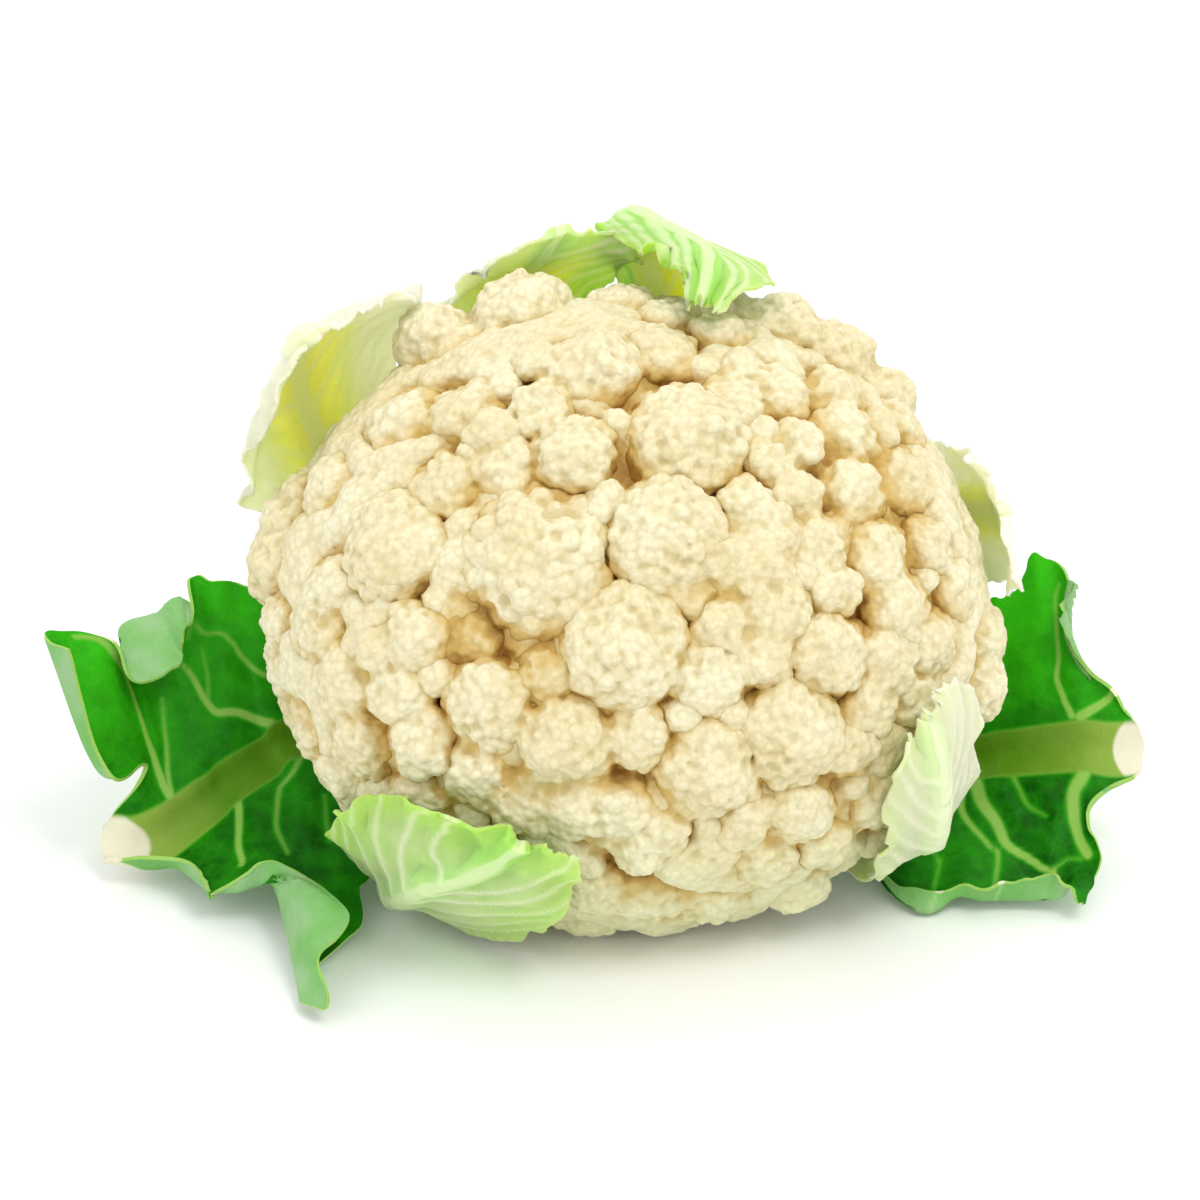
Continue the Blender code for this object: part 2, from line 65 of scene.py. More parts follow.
# Each floret is a cluster of knolls: across, up, radius and, where it isn't level with the dome, how
# proud of it the knoll stands
FLORETS = {
    "crown_left": (
        (-24, 65.5, 11), (-38.5, 54.5, 11), (-48.5, 40, 10), (-36, 42, 9),
        (-40.5, 26.5, 8.5), (-44, 62, 8), (-20.5, 56.5, 4, 1), (-20, 45, 6, 1),
        (-31, 40, 4.5, 1), (-28.5, 32, 6.5), (-12, 34.5, 8.5, 2), (-7.5, 53.5, 10, 3),
    ),
    "crown_right": ((-0.5, 65.5, 8.5), (7, 55.5, 8.5), (9.5, 64.5, 6)),
    "brow": ((13, 36, 14, 3),),
    "heart_right": ((8.5, 16, 12.5, 4), (14, 4.5, 6.5, -2)),
    "heart_left": ((-20, 10, 16.5, 4),),
    "heart_low": ((-0.5, -8.5, 13, 4),),
    "cheek_left": ((-50.5, 13.5, 12.5, 3),),
    "temple_left": ((-73, 20, 10.5), (-65, 26.5, 8), (-78, 11, 9), (-65, 4.5, 8)),
    "temple_right": (
        (20.5, 61, 6), (26, 55, 4), (23.5, 46.5, 7), (33.5, 48, 7), (35, 62, 9.5),
        (47, 56.5, 9.5), (26, 66, 6), (45, 46.5, 8), (57, 49, 7),
    ),
    "shoulder_right": (
        (32, 33, 5), (38, 36.5, 5.5), (38, 25.5, 5), (48, 38, 8.5),
        (49.5, 25.5, 8), (59.5, 40, 7.5), (60.5, 28, 8), (43, 14, 6), (46, 4.5, 5.5),
    ),
    "middle_right": (
        (26, 23.5, 5.5), (32.5, 17.5, 6), (27.5, 9, 8.5, 1), (32.5, -1, 8, 1),
        (21, -4, 5.5), (29.5, -11, 6), (20, 11, 6),
    ),
    "flank_right": ((55, 11, 8), (59.5, 0, 8.5), (72.5, 4.5, 6.5), (67, 14.5, 5.5)),
    "cheek_right": ((44.5, -10, 8.5, 2), (17.5, -14.5, 8, 1)),
    "jowl_right": (
        (56, -12, 8.5), (66, -8, 8), (54, -21, 6), (64, -20, 6),
        (78, -6.5, 7.5), (79, -18, 7), (71.5, -23.5, 6),
    ),
    "chin_right": ((35.5, -26.5, 11.5, 3),),
    "chin_middle": ((17.5, -34.5, 11.5, 2), (8.5, -50.5, 4.5)),
    "low_right": (
        (37, -43.5, 9), (44, -51, 6.5), (53.5, -40, 9.5), (58, -49, 6), (49.5, -31.5, 5.5),
    ),
    "low_middle": (
        (17.5, -61, 10), (4, -62, 9), (30, -53.5, 8.5), (38, -61, 7.5),
        (25.5, -47, 6), (-8, -61, 7),
    ),
    "flank_left": (
        (-66, -3.5, 10), (-73, -12, 9.5), (-62, -15.5, 8.5), (-69, -25, 8.5),
        (-58.5, -29.5, 8), (-76, -2, 7), (-63, -36.5, 6), (-58, -9.5, 3.5, 1),
        (-48, -6, 7.5, 1), (-51.5, -19.5, 6.5, 1), (-46, -30, 6.5, 1),
    ),
    "middle_left": ((-34, -6.5, 8.5, -3), (-18.5, -14.5, 7, -2)),
    "low_left": (
        (-31.5, -21, 9.5, 2), (-14, -29.5, 9.5, 3), (-33, -36.5, 8.5), (-23, -42, 8.5),
        (-12.5, -43.5, 7.5), (2, -28, 7), (-2.5, -44.5, 9.5), (2.5, -53.5, 5),
        (-39.5, -49, 8), (-24, -55.5, 8), (-46, -42, 7),
    ),
}

# Rings of knolls round the hidden back of the curd: count, share of the rim radius, forward, radius
BACK_RINGS = ((22, 0.86, -4.0, 11.0), (19, 0.77, -16.0, 10.5), (13, 0.55, -26.0, 10.0))

# Knolls all over the dome, under the others: count and radius, and how far their tops lie below it
BED = (190, 7.5)
BED_DROP = 4.5

# Small knolls in the gaps that the others leave: count to try and radius, and how far their tops lie
# below the dome
FILLERS = (1400, 4.0)
FILLER_DROP = 1.7

# Balls that a knoll is copied from: the smallest knoll that takes it, and its knobs' share of its radius
KNOLL_KINDS = ((12.0, 0.20), (8.2, 0.27), (5.8, 0.38), (0.0, 0.5))

# How closely the knobs sit, how much of a ball's height they cover, and the turn from knoll to knoll
KNOB_CROWD = 4.6
KNOB_SPAN = 1.6
KNOLL_TURN = 1.7

# Mesh size of the florets at the back and in the bed, as multiples of the front ones', and the size of
# the knolls' swellings, in metres
BACK_MESH = 1.7
BED_MESH = 1.75
SWELL_SIZE = 0.009

# Branches behind the rings of knolls: distance of their lower ends from the axis, forward of the first
# ring's, step to the next ring's, radius there, and radius at the knoll as a share of the knoll's own
BRANCH = (13.0, -42, 7, 5.5, 0.62)
BRANCH_MESH = 0.0014

# Places across a leaf, as shares of its half width
INNER_SHARES = (-1.0, -0.52, -0.15, 0.15, 0.52, 1.0)
OUTER_SHARES = (-1.0, -0.66, -0.34, -0.11, 0.11, 0.34, 0.66, 1.0)

# Inner leaves. The foot: clock, forward and half width on the stalk. Then stations up to the tip:
# clock, reach as a share of the dome's rim radius at that clock angle, forward, and the half width
# on the anticlockwise and on the clockwise side
INNER_LEAVES = {
    "leaf_front": (
        (194.5, -59, 7),
        (
            (203, 0.52, -45, 10, 11), (214, 0.82, -30, 9, 18), (219, 1.03, -10, 12, 20),
            (218, 1.03, 4, 28, 21), (215, 0.985, 19, 30, 25), (208, 0.90, 31, 22, 27),
            (202, 0.80, 42, 12, 17),
        ),
    ),
    "leaf_lower_right": (
        (142, -54, 6),
        (
            (139, 0.52, -43, 9, 10), (131, 0.86, -28, 13, 12), (127, 1.04, -9, 13, 15),
            (126, 1.035, 5, 15, 16), (123, 0.985, 17, 18, 16), (119, 0.915, 29, 17, 14),
            (115, 0.84, 37, 9, 9),
        ),
    ),
    "leaf_right": (
        (57, -59, 6),
        (
            (62, 0.55, -48, 10, 10), (68, 0.87, -32, 16, 18), (73, 1.035, -12, 18, 17),
            (75, 1.035, 2, 15, 20), (76, 1.02, 12, 10, 16),
        ),
    ),
    "leaf_upper_left": (
        (279.5, -54, 6),
        (
            (286, 0.54, -44, 12, 12), (296, 0.88, -29, 20, 20), (303, 1.09, -10, 27, 27),
            (307, 1.165, 4, 29, 30), (309, 1.17, 14, 24, 27), (310, 1.12, 22, 14, 16),
        ),
    ),
    "leaf_top_left": (
        (332, -59, 6),
        (
            (336, 0.55, -48, 10, 12), (340, 0.88, -33, 18, 17), (343, 1.08, -13, 24, 19),
            (347, 1.12, 0, 26, 22), (350, 1.16, 8, 17, 18),
        ),
    ),
    "leaf_top_right": (
        (4.5, -54, 6),
        (
            (5, 0.54, -43, 9, 10), (5, 0.87, -28, 10, 14), (4, 1.07, -9, 8, 19),
            (0, 1.20, 2, 7, 24), (8, 1.10, 13, 9, 21), (13, 1.02, 23, 8, 15), (14, 0.86, 34, 3, 5),
        ),
    ),
}

# How blanched an inner leaf is at its anticlockwise and its clockwise margin: 1 white, -1 bright green
BLANCHED = {
    "leaf_front": (0.1, -0.1),
    "leaf_lower_right": (0.9, 0.5),
    "leaf_right": (2.5, 1.8),
    "leaf_upper_left": (0.9, 1.2),
    "leaf_top_left": (0.8, 0.0),
    "leaf_top_right": (-1.0, 0.1),
}

# Outer leaves. The foot, as above. Then rows from near the stalk to the trimmed edge, each
# clockwise across the leaf: across and up as seen along the line of sight, and forward
OUTER_LEAVES = {
    "leaf_outer_left": (
        (247, -67, 8.5),
        (
            ((-40.5, -44.5, -50), (-42, -39, -52), (-44, -33.5, -54), (-45.5, -29, -55),
             (-47.5, -24.5, -55), (-49.5, -20, -54), (-51.5, -13, -52), (-52.5, -5.5, -50)),
            ((-56, -58, -20), (-58, -53, -24), (-65, -43, -31), (-73, -33, -36),
             (-76.5, -25, -36), (-79, -15.5, -36), (-80, -6.5, -33), (-81.5, 4.5, -28)),
            ((-61, -66, -13), (-64.5, -59, -18), (-72, -49, -26), (-79.5, -38, -34),
             (-83.5, -29.5, -34), (-86, -17.5, -34), (-88.5, -5, -31), (-90.5, 6.5, -26)),
            ((-61, -72.5, -4), (-68, -65, -11), (-77, -54, -22), (-85, -42, -32),
             (-89.5, -32.5, -32), (-92, -19, -32), (-96, -5, -30), (-98.5, 7.5, -26)),
            ((-75, -87, 15.5), (-77, -74, 1), (-81, -58, -17), (-89, -45, -31.5),
             (-93.5, -35, -31.5), (-96, -21, -31.5), (-100, 1.5, -28.5), (-100.2, -1, -23)),
            ((-69.5, -91, 24), (-76.5, -76, 9.5), (-82.5, -58.5, -15), (-91, -47, -31),
             (-95.5, -37, -31), (-98, -22, -31), (-103, 2, -28), (-101, -5, -21)),
            ((-71, -79.5, 19.5), (-75.5, -69, 10), (-84.5, -59, -14.5), (-93, -48.5, -30.5),
             (-97.5, -38.5, -30.5), (-99.8, -24, -31), (-106.5, 0, -28), (-102, -9, -19)),
            ((-64, -69, 12), (-73.5, -62, 4), (-86, -59, -15), (-94.5, -49.5, -30),
             (-99, -39.5, -30), (-101, -25, -31), (-109, -1.5, -28), (-102.5, -12.5, -17)),
            ((-79, -58.7, -2), (-82, -63, -7), (-91, -59.5, -18), (-99, -52.5, -29),
             (-103, -42.5, -29), (-105, -28, -30), (-116, -5, -26), (-110.5, -16.5, -15)),
            ((-87.5, -60.5, -5), (-89.5, -64.5, -9), (-96.5, -60, -20), (-103.5, -55.5, -27),
             (-107.5, -45.5, -27), (-108.5, -33, -27), (-113.5, -18, -22), (-119.5, -6.5, -16)),
            ((-94.5, -65.5, -9), (-97, -63.5, -13), (-103, -59, -21), (-110.5, -57.5, -25),
             (-113, -48, -25), (-109.7, -34.5, -25), (-121, -35, -14), (-134, -5, -10)),
            ((-95, -64, -6), (-97, -61.5, -9), (-101, -57.5, -15), (-117.5, -56, -24),
             (-118.5, -49, -24), (-109.7, -36, -23), (-118.5, -37.5, -10), (-127.5, -9, -2)),
        ),
    ),
    "leaf_outer_right": (
        (109.5, -67, 8.5),
        (
            ((52.5, -4.5, -50), (52.5, -11.5, -52), (50.5, -17, -54), (48.5, -21, -55),
             (47.5, -25.5, -55), (46, -31, -54), (44, -37, -52), (42, -42.5, -50)),
            ((79, 1, -36), (78, -10, -38), (76.5, -22, -40), (76, -29.5, -40),
             (75.5, -36.5, -40), (70, -48, -34), (62.5, -66, -19), (58.5, -61, -20)),
            ((88.5, 4, -30), (88, -9, -32), (86, -22, -34), (85, -29, -34.5),
             (85, -37.5, -34.5), (81, -50, -29), (77, -65, -18), (78, -63.5, -12)),
            ((93.5, 11.5, -26), (95.5, -7, -28), (95, -20.5, -29), (95, -26.5, -29.5),
             (95, -38, -29.5), (91.5, -49.5, -27), (88.5, -65.5, -18), (90, -61.2, -11)),
            ((102, 7.2, -22), (100, -6, -25), (102, -19, -25), (103.5, -25, -25.5),
             (103.5, -38, -25.5), (98.5, -49.5, -24), (97.5, -66, -16), (97.5, -61, -11)),
            ((100, 1.5, -21.5), (102, -9, -24.5), (108, -18.5, -24), (110, -25.5, -24),
             (110, -38.5, -24), (103.5, -47.5, -23), (103.5, -60, -17), (101.5, -65.5, -11)),
            ((99.5, -2, -20), (104, -11.5, -22), (112, -20.5, -22), (116.5, -27.5, -23),
             (116.5, -36.5, -23), (105.5, -45, -21), (108, -56.5, -16), (104.5, -67.5, -11)),
        ),
    ),
}

# Veins of the outer leaves, where they are seen: half width at the midrib and at the end, then the
# places across and up that they pass
OUTER_VEINS = {
    "leaf_outer_left": (
        (0.6, 0.4, ((-82.5, -15), (-87.5, -11), (-90, -7.5), (-94.5, -5.5), (-100, -6))),
        (1.3, 0.6, ((-81, -26), (-87.5, -24), (-93, -23.5), (-95.5, -21.5), (-98, -17),
                    (-100.5, -13.5))),
        (0.4, 0.3, ((-95.5, -20.5), (-95.5, -15.5), (-97, -9))),
        (0.6, 0.4, ((-104, -42), (-105, -36), (-105.5, -28), (-106, -20))),
        (1.2, 0.6, ((-103, -44), (-106, -39), (-108.5, -31), (-111, -24), (-115, -13), (-119, -8),
                    (-126, -6.5))),
        (0.7, 0.4, ((-72, -32), (-76, -36.5), (-79, -40), (-80, -45), (-79.5, -50.5), (-77.5, -55.5))),
        (1.2, 0.8, ((-89, -42), (-88.5, -46.5), (-88.5, -52.5), (-88, -58))),
        (0.4, 0.3, ((-69, -42), (-68, -53))),
    ),
    "leaf_outer_right": (
        (0.9, 0.4, ((101.5, -24), (99.5, -20), (98, -15.5), (98.5, -11), (98, -5.5), (97.5, 2), (99, 6))),
        (1.4, 0.9, ((103.5, -24.5), (107.5, -22), (111, -19))),
        (2.0, 0.8, ((78, -37), (80.5, -42.5), (84, -48.5), (87, -53.5), (92.5, -57), (97, -60))),
        (0.9, 0.4, ((76.5, -39), (76.5, -45), (79, -50), (82.5, -53.5), (84.5, -58), (85.5, -62))),
        (0.45, 0.3, ((87.5, -37), (89.5, -41), (92, -45), (95.5, -47.5))),
        (0.45, 0.35, ((67, -50.5), (70, -54.5), (71.5, -56.5), (71, -60), (71, -63))),
        (2.0, 1.4, ((104, -37), (102, -42.5), (102.5, -49), (105, -55.5))),
        (0.4, 0.3, ((97, -58.5), (100.5, -57), (104, -57))),
    ),
}

# How high a vein stands, as a share of its half width, and the finest that the mesh can show
VEIN_RISE = 0.5
FINEST_VEIN = 1.0

# Share of a leaf's length over which it comes free of the stalk
FOOT_SHARE = 0.16

# The stalk's two lengths, front to back: far end, near end, and the radius at each
STALK = ((-62.0, -28.6, 18.5, 17.0), (-77.8, -62.0, 20.4, 18.5))
STALK_MESH = 0.0008

# Bases left where the oldest leaves were cut away: clock, then rows of radius, forward, half width.
# Their thickness in the middle follows
LEAF_BASES = {
    "cut_base_upper_right": (27.0, ((21.0, -72, 8.0), (30, -70.5, 8.5), (41, -66.5, 8.5))),
    "cut_base_lower": (162.0, ((21.0, -69, 8.0), (27, -67.5, 8.5), (33, -63, 8.5))),
    "cut_base_upper_left": (303.0, ((21.0, -72, 8.0), (30, -70.5, 8.5), (42, -66, 8.5))),
}
BASE_THICKNESS = 5.6

# Nothing reaches lower than this above the floor, in metres
LOWEST = 0.1 * MM

# How far red, green and blue light spread in flesh, as shares of the farthest
FLESH_GLOW = (1.0, 0.7, 0.35)

# Lamps: name, place, width in metres, power and colour
LAMPS = (
    ("key", (0.50, -0.50, 1.30), 0.6, 6.5, (1.0, 0.99, 0.96)),
    ("fill", (-0.95, -0.6, 0.7), 1.0, 2.2, (0.97, 0.99, 1.0)),
    ("top", (0.1, 0.55, 1.3), 1.0, 2.5, (1.0, 1.0, 1.0)),
)

# How far to the right of the head's middle and above it the camera aims, in millimetres
AIM = (-28 / 4.5, 10 / 4.5)


# Settings


def length(name, about, metres):
    return FloatProperty(name=name, description=about, default=metres, unit="LENGTH")


def angle(name, about, degrees):
    return FloatProperty(name=name, description=about, default=math.radians(degrees), subtype="ANGLE")


def tint(name, about, default):
    return FloatVectorProperty(name=name, description=about, default=default, subtype="COLOR")


class HeadSettings(bpy.types.PropertyGroup):
    tilt: angle("Tilt", "Rise of the head's axis", 35)
    half_width: length("Half width", "Curd, across", 0.085)
    half_height: length("Half height", "Curd, up its face", 0.075)
    front: length("Front", "Depth of the dome", 0.055)
    back: length("Back", "Depth behind the rim", 0.040)
    centre: FloatVectorProperty(
        name="Centre", description="Middle of the rim", default=(0, 0.0288, 0.0656), subtype="XYZ"
    )


class CurdSettings(bpy.types.PropertyGroup):
    crowding: length("Crowding", "How far the knolls press into each other", 0.0014)
    core_inset: length("Core inset", "How deep the gaps go", 0.013)
    fineness: length("Fineness", "Mesh size of the florets", 0.00055)
    granule: length("Granule", "Size of a flower bud", 0.0019)
    unevenness: length("Unevenness", "Swelling of the knolls", 0.0023)
    relief: length("Relief", "Height of the buds", 0.0005)
    cream: tint("Cream", "Tops of the florets", (0.755, 0.665, 0.405))
    ivory: tint("Ivory", "Paler florets", (0.82, 0.77, 0.54))
    # Tan, gold and brown paint shade: tan in creases and between buds, gold down the florets' sides, brown at
    # the floor of the gaps, and gold then brown deep among the branches. Gold also tints the stalk's drying
    # cut rim.
    tan: tint("Tan", "Creases between buds", (0.58, 0.47, 0.21))
    gold: tint("Gold", "Sides of the florets", (0.60, 0.40, 0.09))
    brown: tint("Brown", "Floor of the gaps", (0.30, 0.13, 0.015))
    flesh: tint("Flesh", "Branches behind", (0.74, 0.76, 0.50))


class LeafSettings(bpy.types.PropertyGroup):
    blade: length("Blade", "Thickness of the blade", 0.0009)
    # Deep and bright green are the outer leaves' faces in painted shade and in painted light; bright green
    # also rings the veins.
    deep: tint("Deep green", "Outer leaves", (0.001, 0.10, 0.001))
    bright: tint("Bright green", "Outer leaves, lit parts", (0.034, 0.48, 0.004))
    vein: tint("Vein", "Veins of outer leaves", (0.30, 0.55, 0.10))
    olive: tint("Olive", "Midribs of outer leaves", (0.10, 0.28, 0.006))
    straw: tint("Straw", "The same, near their cut ends", (0.27, 0.41, 0.06))
    under: tint("Underside", "Backs of outer leaves", (0.16, 0.44, 0.10))
    bloom: tint("Bloom", "Grey bloom on the backs", (0.29, 0.49, 0.23))
    pale: tint("Pale green", "Inner leaves", (0.31, 0.60, 0.10))
    milky: tint("Milky green", "Inner leaves, palest parts", (0.50, 0.73, 0.29))
    yellow: tint("Yellow", "Insides of inner leaves", (0.92, 0.88, 0.10))
    blanched: tint("Blanched", "Inner leaves kept from the light", (0.92, 0.91, 0.68))
    fresh: tint("Fresh green", "Inner leaves in the light", (0.28, 0.60, 0.04))
    rib: tint("Rib", "Ribs of inner leaves", (0.80, 0.86, 0.60))
    cut: tint("Cut", "Cut flesh", (0.80, 0.76, 0.58))
    steps: IntProperty(name="Steps", description="Mesh steps between two rows of a leaf", default=16, min=4)


class StageSettings(bpy.types.PropertyGroup):
    elevation: angle("Elevation", "How far down the camera looks", 26)
    distance: length("Distance", "Camera to the head", 0.76)
    lens: FloatProperty(name="Lens", description="Focal length in millimetres", default=100.0)
    floor: tint("Floor", "Floor colour", (0.92, 0.93, 0.92))
    sky: FloatProperty(name="Sky", description="Strength of the light from all round", default=0.95)


class CauliflowerSettings(bpy.types.PropertyGroup):
    head: PointerProperty(type=HeadSettings)
    curd: PointerProperty(type=CurdSettings)
    leaf: PointerProperty(type=LeafSettings)
    stage: PointerProperty(type=StageSettings)


def settings():
    return bpy.context.scene.cauliflower


# The head's own frame


def head_matrix():
    """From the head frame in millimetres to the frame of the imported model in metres."""
    head = settings().head
    across = Vector((1, 0, 0))
    up = Vector((0, math.sin(head.tilt), math.cos(head.tilt)))
    forward = Vector((0, -math.cos(head.tilt), math.sin(head.tilt)))
    turn = Matrix((across, up, forward)).transposed().to_4x4()
    return Matrix.Translation(head.centre) @ turn @ Matrix.Scale(MM, 4)


def dome_sizes():
    """Half width, half height and front depth of the dome, in millimetres."""
    head = settings().head
    return Vector((head.half_width, head.half_height, head.front)) / MM


def dome_radius(clock):
    """The dome's own radius at its rim, at a clock angle in degrees."""
    turn = math.radians(clock)
    half = dome_sizes()
    return 1 / math.hypot(math.sin(turn) / half.x, math.cos(turn) / half.y)


def polar(clock, radius, forward):
    """The place at a clock angle in degrees, so far from the head's axis and so far forward."""
    turn = math.radians(clock)
    return Vector((radius * math.sin(turn), radius * math.cos(turn), forward))


def sight():
    """The way back to the eye, the way up square to it, and the eye's distance."""
    stage = settings().stage
    drop = settings().head.tilt - stage.elevation
    look = Vector((0, -math.sin(drop), math.cos(drop)))
    return look, Vector((0, math.cos(drop), math.sin(drop))), stage.distance / MM


def line_of_sight(across, up):
    """The eye, and the ray from it through a place across and up the plane at the head's middle."""
    look, rise, distance = sight()
    eye = look * distance
    return eye, Vector((across, 0, 0)) + rise * up - eye


def sighted(across, up, forward):
    """The place on a line of sight that lies this far forward in the head frame."""
    eye, ray = line_of_sight(across, up)
    return eye + ray * ((forward - eye.z) / ray.z)


def on_dome(across, up, radius, proud=0):
    """Centre of a knoll whose top lies on the dome, where the line of sight at (across, up) meets it."""
    eye, ray = line_of_sight(across, up)
    half = dome_sizes() - Vector((1, 1, 1)) * (radius - proud)
    start = Vector(e / h for e, h in zip(eye, half))
    step = Vector(r / h for r, h in zip(ray, half))
    a, b, c = step.dot(step), start.dot(step), start.dot(start) - 1
    reach = (-b - math.sqrt(max(b * b - a * c, 0))) / a
    return eye + ray * reach


def outwards(place):
    """The way that the dome faces at a place inside or on it."""
    half = dome_sizes()
    return Vector(p / (h * h) for p, h in zip(place, half)).normalized()


# Shaping tools


def select_only(*objects):
    bpy.ops.object.select_all(action="DESELECT")
    for obj in objects:
        obj.select_set(True)
    bpy.context.view_layer.objects.active = objects[0]


def joined(objects, name):
    select_only(*objects)
    if len(objects) > 1:
        bpy.ops.object.join()
    made = bpy.context.object
    made.name = made.data.name = name
    return made


def copied(obj, matrix):
    """A copy with its own mesh, turned and placed in its mesh."""
    copy = obj.copy()
    copy.data = obj.data.copy()
    copy.data.transform(matrix)
    bpy.context.collection.objects.link(copy)
    return copy


def applied(obj, kind, **values):
    """Adds a modifier, sets it and applies it."""
    modifier = obj.modifiers.new(kind.title(), kind)
    for key, value in values.items():
        setattr(modifier, key, value)
    select_only(obj)
    bpy.ops.object.modifier_apply(modifier=modifier.name)


def displaced(obj, texture, strength, middle):
    """Moves a mesh's points in and out; middle is the texture's value that leaves them in place."""
    applied(obj, "DISPLACE", texture=texture, texture_coords="LOCAL", strength=strength, mid_level=middle)


def smoothed(obj):
    select_only(obj)
    bpy.ops.object.shade_smooth()


def coordinates(mesh):
    places = np.empty(len(mesh.vertices) * 3)
    mesh.vertices.foreach_get("co", places)
    return places.reshape(-1, 3)


def head_places(mesh):
    """Where a mesh's points lie in the head frame."""
    head = np.array(head_matrix().inverted())
    return coordinates(mesh) @ head[:3, :3].T + head[:3, 3]


def keep_above_floor(obj):
    places = coordinates(obj.data)
    places[:, 2] = np.maximum(places[:, 2], LOWEST)
    obj.data.vertices.foreach_set("co", places.ravel())
    obj.data.update()


def set_attribute(mesh, name, values):
    attribute = mesh.attributes.new(name, "FLOAT", "POINT")
    attribute.data.foreach_set("value", np.ascontiguousarray(values, dtype=np.float32).ravel())


def finish_piece(obj, node, *finishes):
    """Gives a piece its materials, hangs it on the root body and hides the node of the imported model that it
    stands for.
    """
    while len(obj.data.materials) < len(finishes):
        obj.data.materials.append(None)
    for slot, finish in enumerate(finishes):
        obj.data.materials[slot] = finish
    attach(obj, "root")
    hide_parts(node)


# Shader maths


class Wire:
    """A socket of a material, so that shader maths reads as a Python expression."""

    def __init__(self, finish, socket):
        self.finish = finish
        self.socket = socket

    def maths(self, operation, *values, clamp=False):
        inputs = dict(enumerate(values))
        return self.finish.node("ShaderNodeMath", {"operation": operation, "use_clamp": clamp}, inputs)

    def __add__(self, other):
        return self.maths("ADD", self, other)

    def __sub__(self, other):
        return self.maths("SUBTRACT", self, other)

    def __mul__(self, other):
        return self.maths("MULTIPLY", self, other)

    def __rsub__(self, other):
        return self.maths("SUBTRACT", other, self)

    def clamped(self):
        return self.maths("ADD", self, 0.0, clamp=True)

    def over(self, low, high):
        """0 below low and 1 above high, easing between them."""
        values = {"Value": self, "From Min": low, "From Max": high, "To Min": 0.0, "To Max": 1.0}
        return self.finish.node("ShaderNodeMapRange", {"interpolation_type": "SMOOTHSTEP"}, values)

    __radd__ = __add__
    __rmul__ = __mul__


class Finish:
    """A material under construction. Constants go straight on the shader's sockets."""

    def __init__(self, name, **constants):
        self.material = bpy.data.materials.new(name)
        self.material.use_nodes = True
        self.tree = self.material.node_tree
        self.shader = self.tree.nodes["Principled BSDF"]
        for socket, value in constants.items():
            self.shader.inputs[socket.replace("_", " ")].default_value = value

    def feed(self, socket, value):
        if isinstance(value, Wire):
            self.tree.links.new(value.socket, socket)
        elif socket.type == "RGBA":
            socket.default_value = (*value[:3], 1)
        else:
            socket.default_value = value

    def node(self, kind, choices=None, values=None, output=0):
        made = self.tree.nodes.new(kind)
        for key, value in (choices or {}).items():
            setattr(made, key, value)
        for key, value in (values or {}).items():
            self.feed(made.inputs[key], value)
        return Wire(self, made.outputs[output])

    def attribute(self, name):
        return self.node("ShaderNodeAttribute", {"attribute_name": name}, output="Fac")

    def place(self):
        return self.node("ShaderNodeTexCoord", output="Object")

    def height(self):
        """Height above the floor, in metres."""
        return self.node("ShaderNodeSeparateXYZ", None, {0: self.place()}, output="Z")

    def grain(self, size, detail=3.0, rough=0.5):
        """Noise whose blotches are about size metres."""
        values = {"Vector": self.place(), "Scale": 1 / size, "Detail": detail, "Roughness": rough}
        return self.node("ShaderNodeTexNoise", None, values)

    def cells(self, size, feature="F1"):
        """Distance from the middle of rounded cells of about size metres, or from their edges."""
        values = {"Vector": self.place(), "Scale": 1 / size}
        return self.node("ShaderNodeTexVoronoi", {"feature": feature}, values, output="Distance")

    def net(self, size, width):
        """A net of the finest veins: 1 on a vein, 0 at the share width of size away from it."""
        return 1 - self.cells(size, "DISTANCE_TO_EDGE").over(0.0, width)

    def mix(self, factor, first, second):
        return self.node("ShaderNodeMix", {"data_type": "RGBA"}, {0: factor, 6: first, 7: second}, output=2)

    def bump(self, height, strength, distance):
        values = {"Height": height, "Strength": strength, "Distance": distance}
        self.feed(self.shader.inputs["Normal"], self.node("ShaderNodeBump", None, values))

    def done(self, colour, roughness=None):
        self.feed(self.shader.inputs["Base Color"], colour)
        if roughness is not None:
            self.feed(self.shader.inputs["Roughness"], roughness)
        return self.material


def curd_finish():
    """Cream florets with painted shade: tan in the creases and between the buds, gold down the florets' sides
    and brown at the floor of the gaps.
    """
    curd = settings().curd
    finish = Finish(
        "curd", Subsurface_Weight=0.2, Subsurface_Radius=(1.0, 0.75, 0.40), Subsurface_Scale=0.0018,
        Specular_IOR_Level=0.3,
    )
    depth = finish.attribute("depth")
    crease = finish.attribute("crease")
    blotch = finish.grain(0.022, 4.0).over(0.35, 0.68)
    speck = finish.grain(0.0011, 2.0).over(0.3, 0.75)
    buds = finish.cells(0.0018)
    colour = finish.mix(blotch, curd.cream, curd.ivory)
    colour = finish.mix(speck * 0.2, colour, (0.88, 0.83, 0.66))
    # Painted shade between the flower buds: tan away from each bud's middle.
    colour = finish.mix(buds.over(0.35, 0.75) * 0.32, colour, curd.tan)
    # Painted shade in the creases between knobs.
    colour = finish.mix((crease * 0.75).clamped(), colour, curd.tan)
    # Greener towards the floor, below 55 mm.
    colour = finish.mix((1 - finish.height().over(0.010, 0.055)) * 0.35, colour, (0.62, 0.70, 0.36))
    # Painted shade by depth below the dome: gold down the florets' sides, brown at the floor of the gaps.
    colour = finish.mix(depth.over(2.0, 5.8) * 0.9, colour, curd.gold)
    colour = finish.mix(depth.over(4.6, 8.0) * 0.92, colour, curd.brown)
    finish.bump(1 - buds, 0.55, 0.0008)
    return finish.done(colour, 0.48 + speck * 0.2)


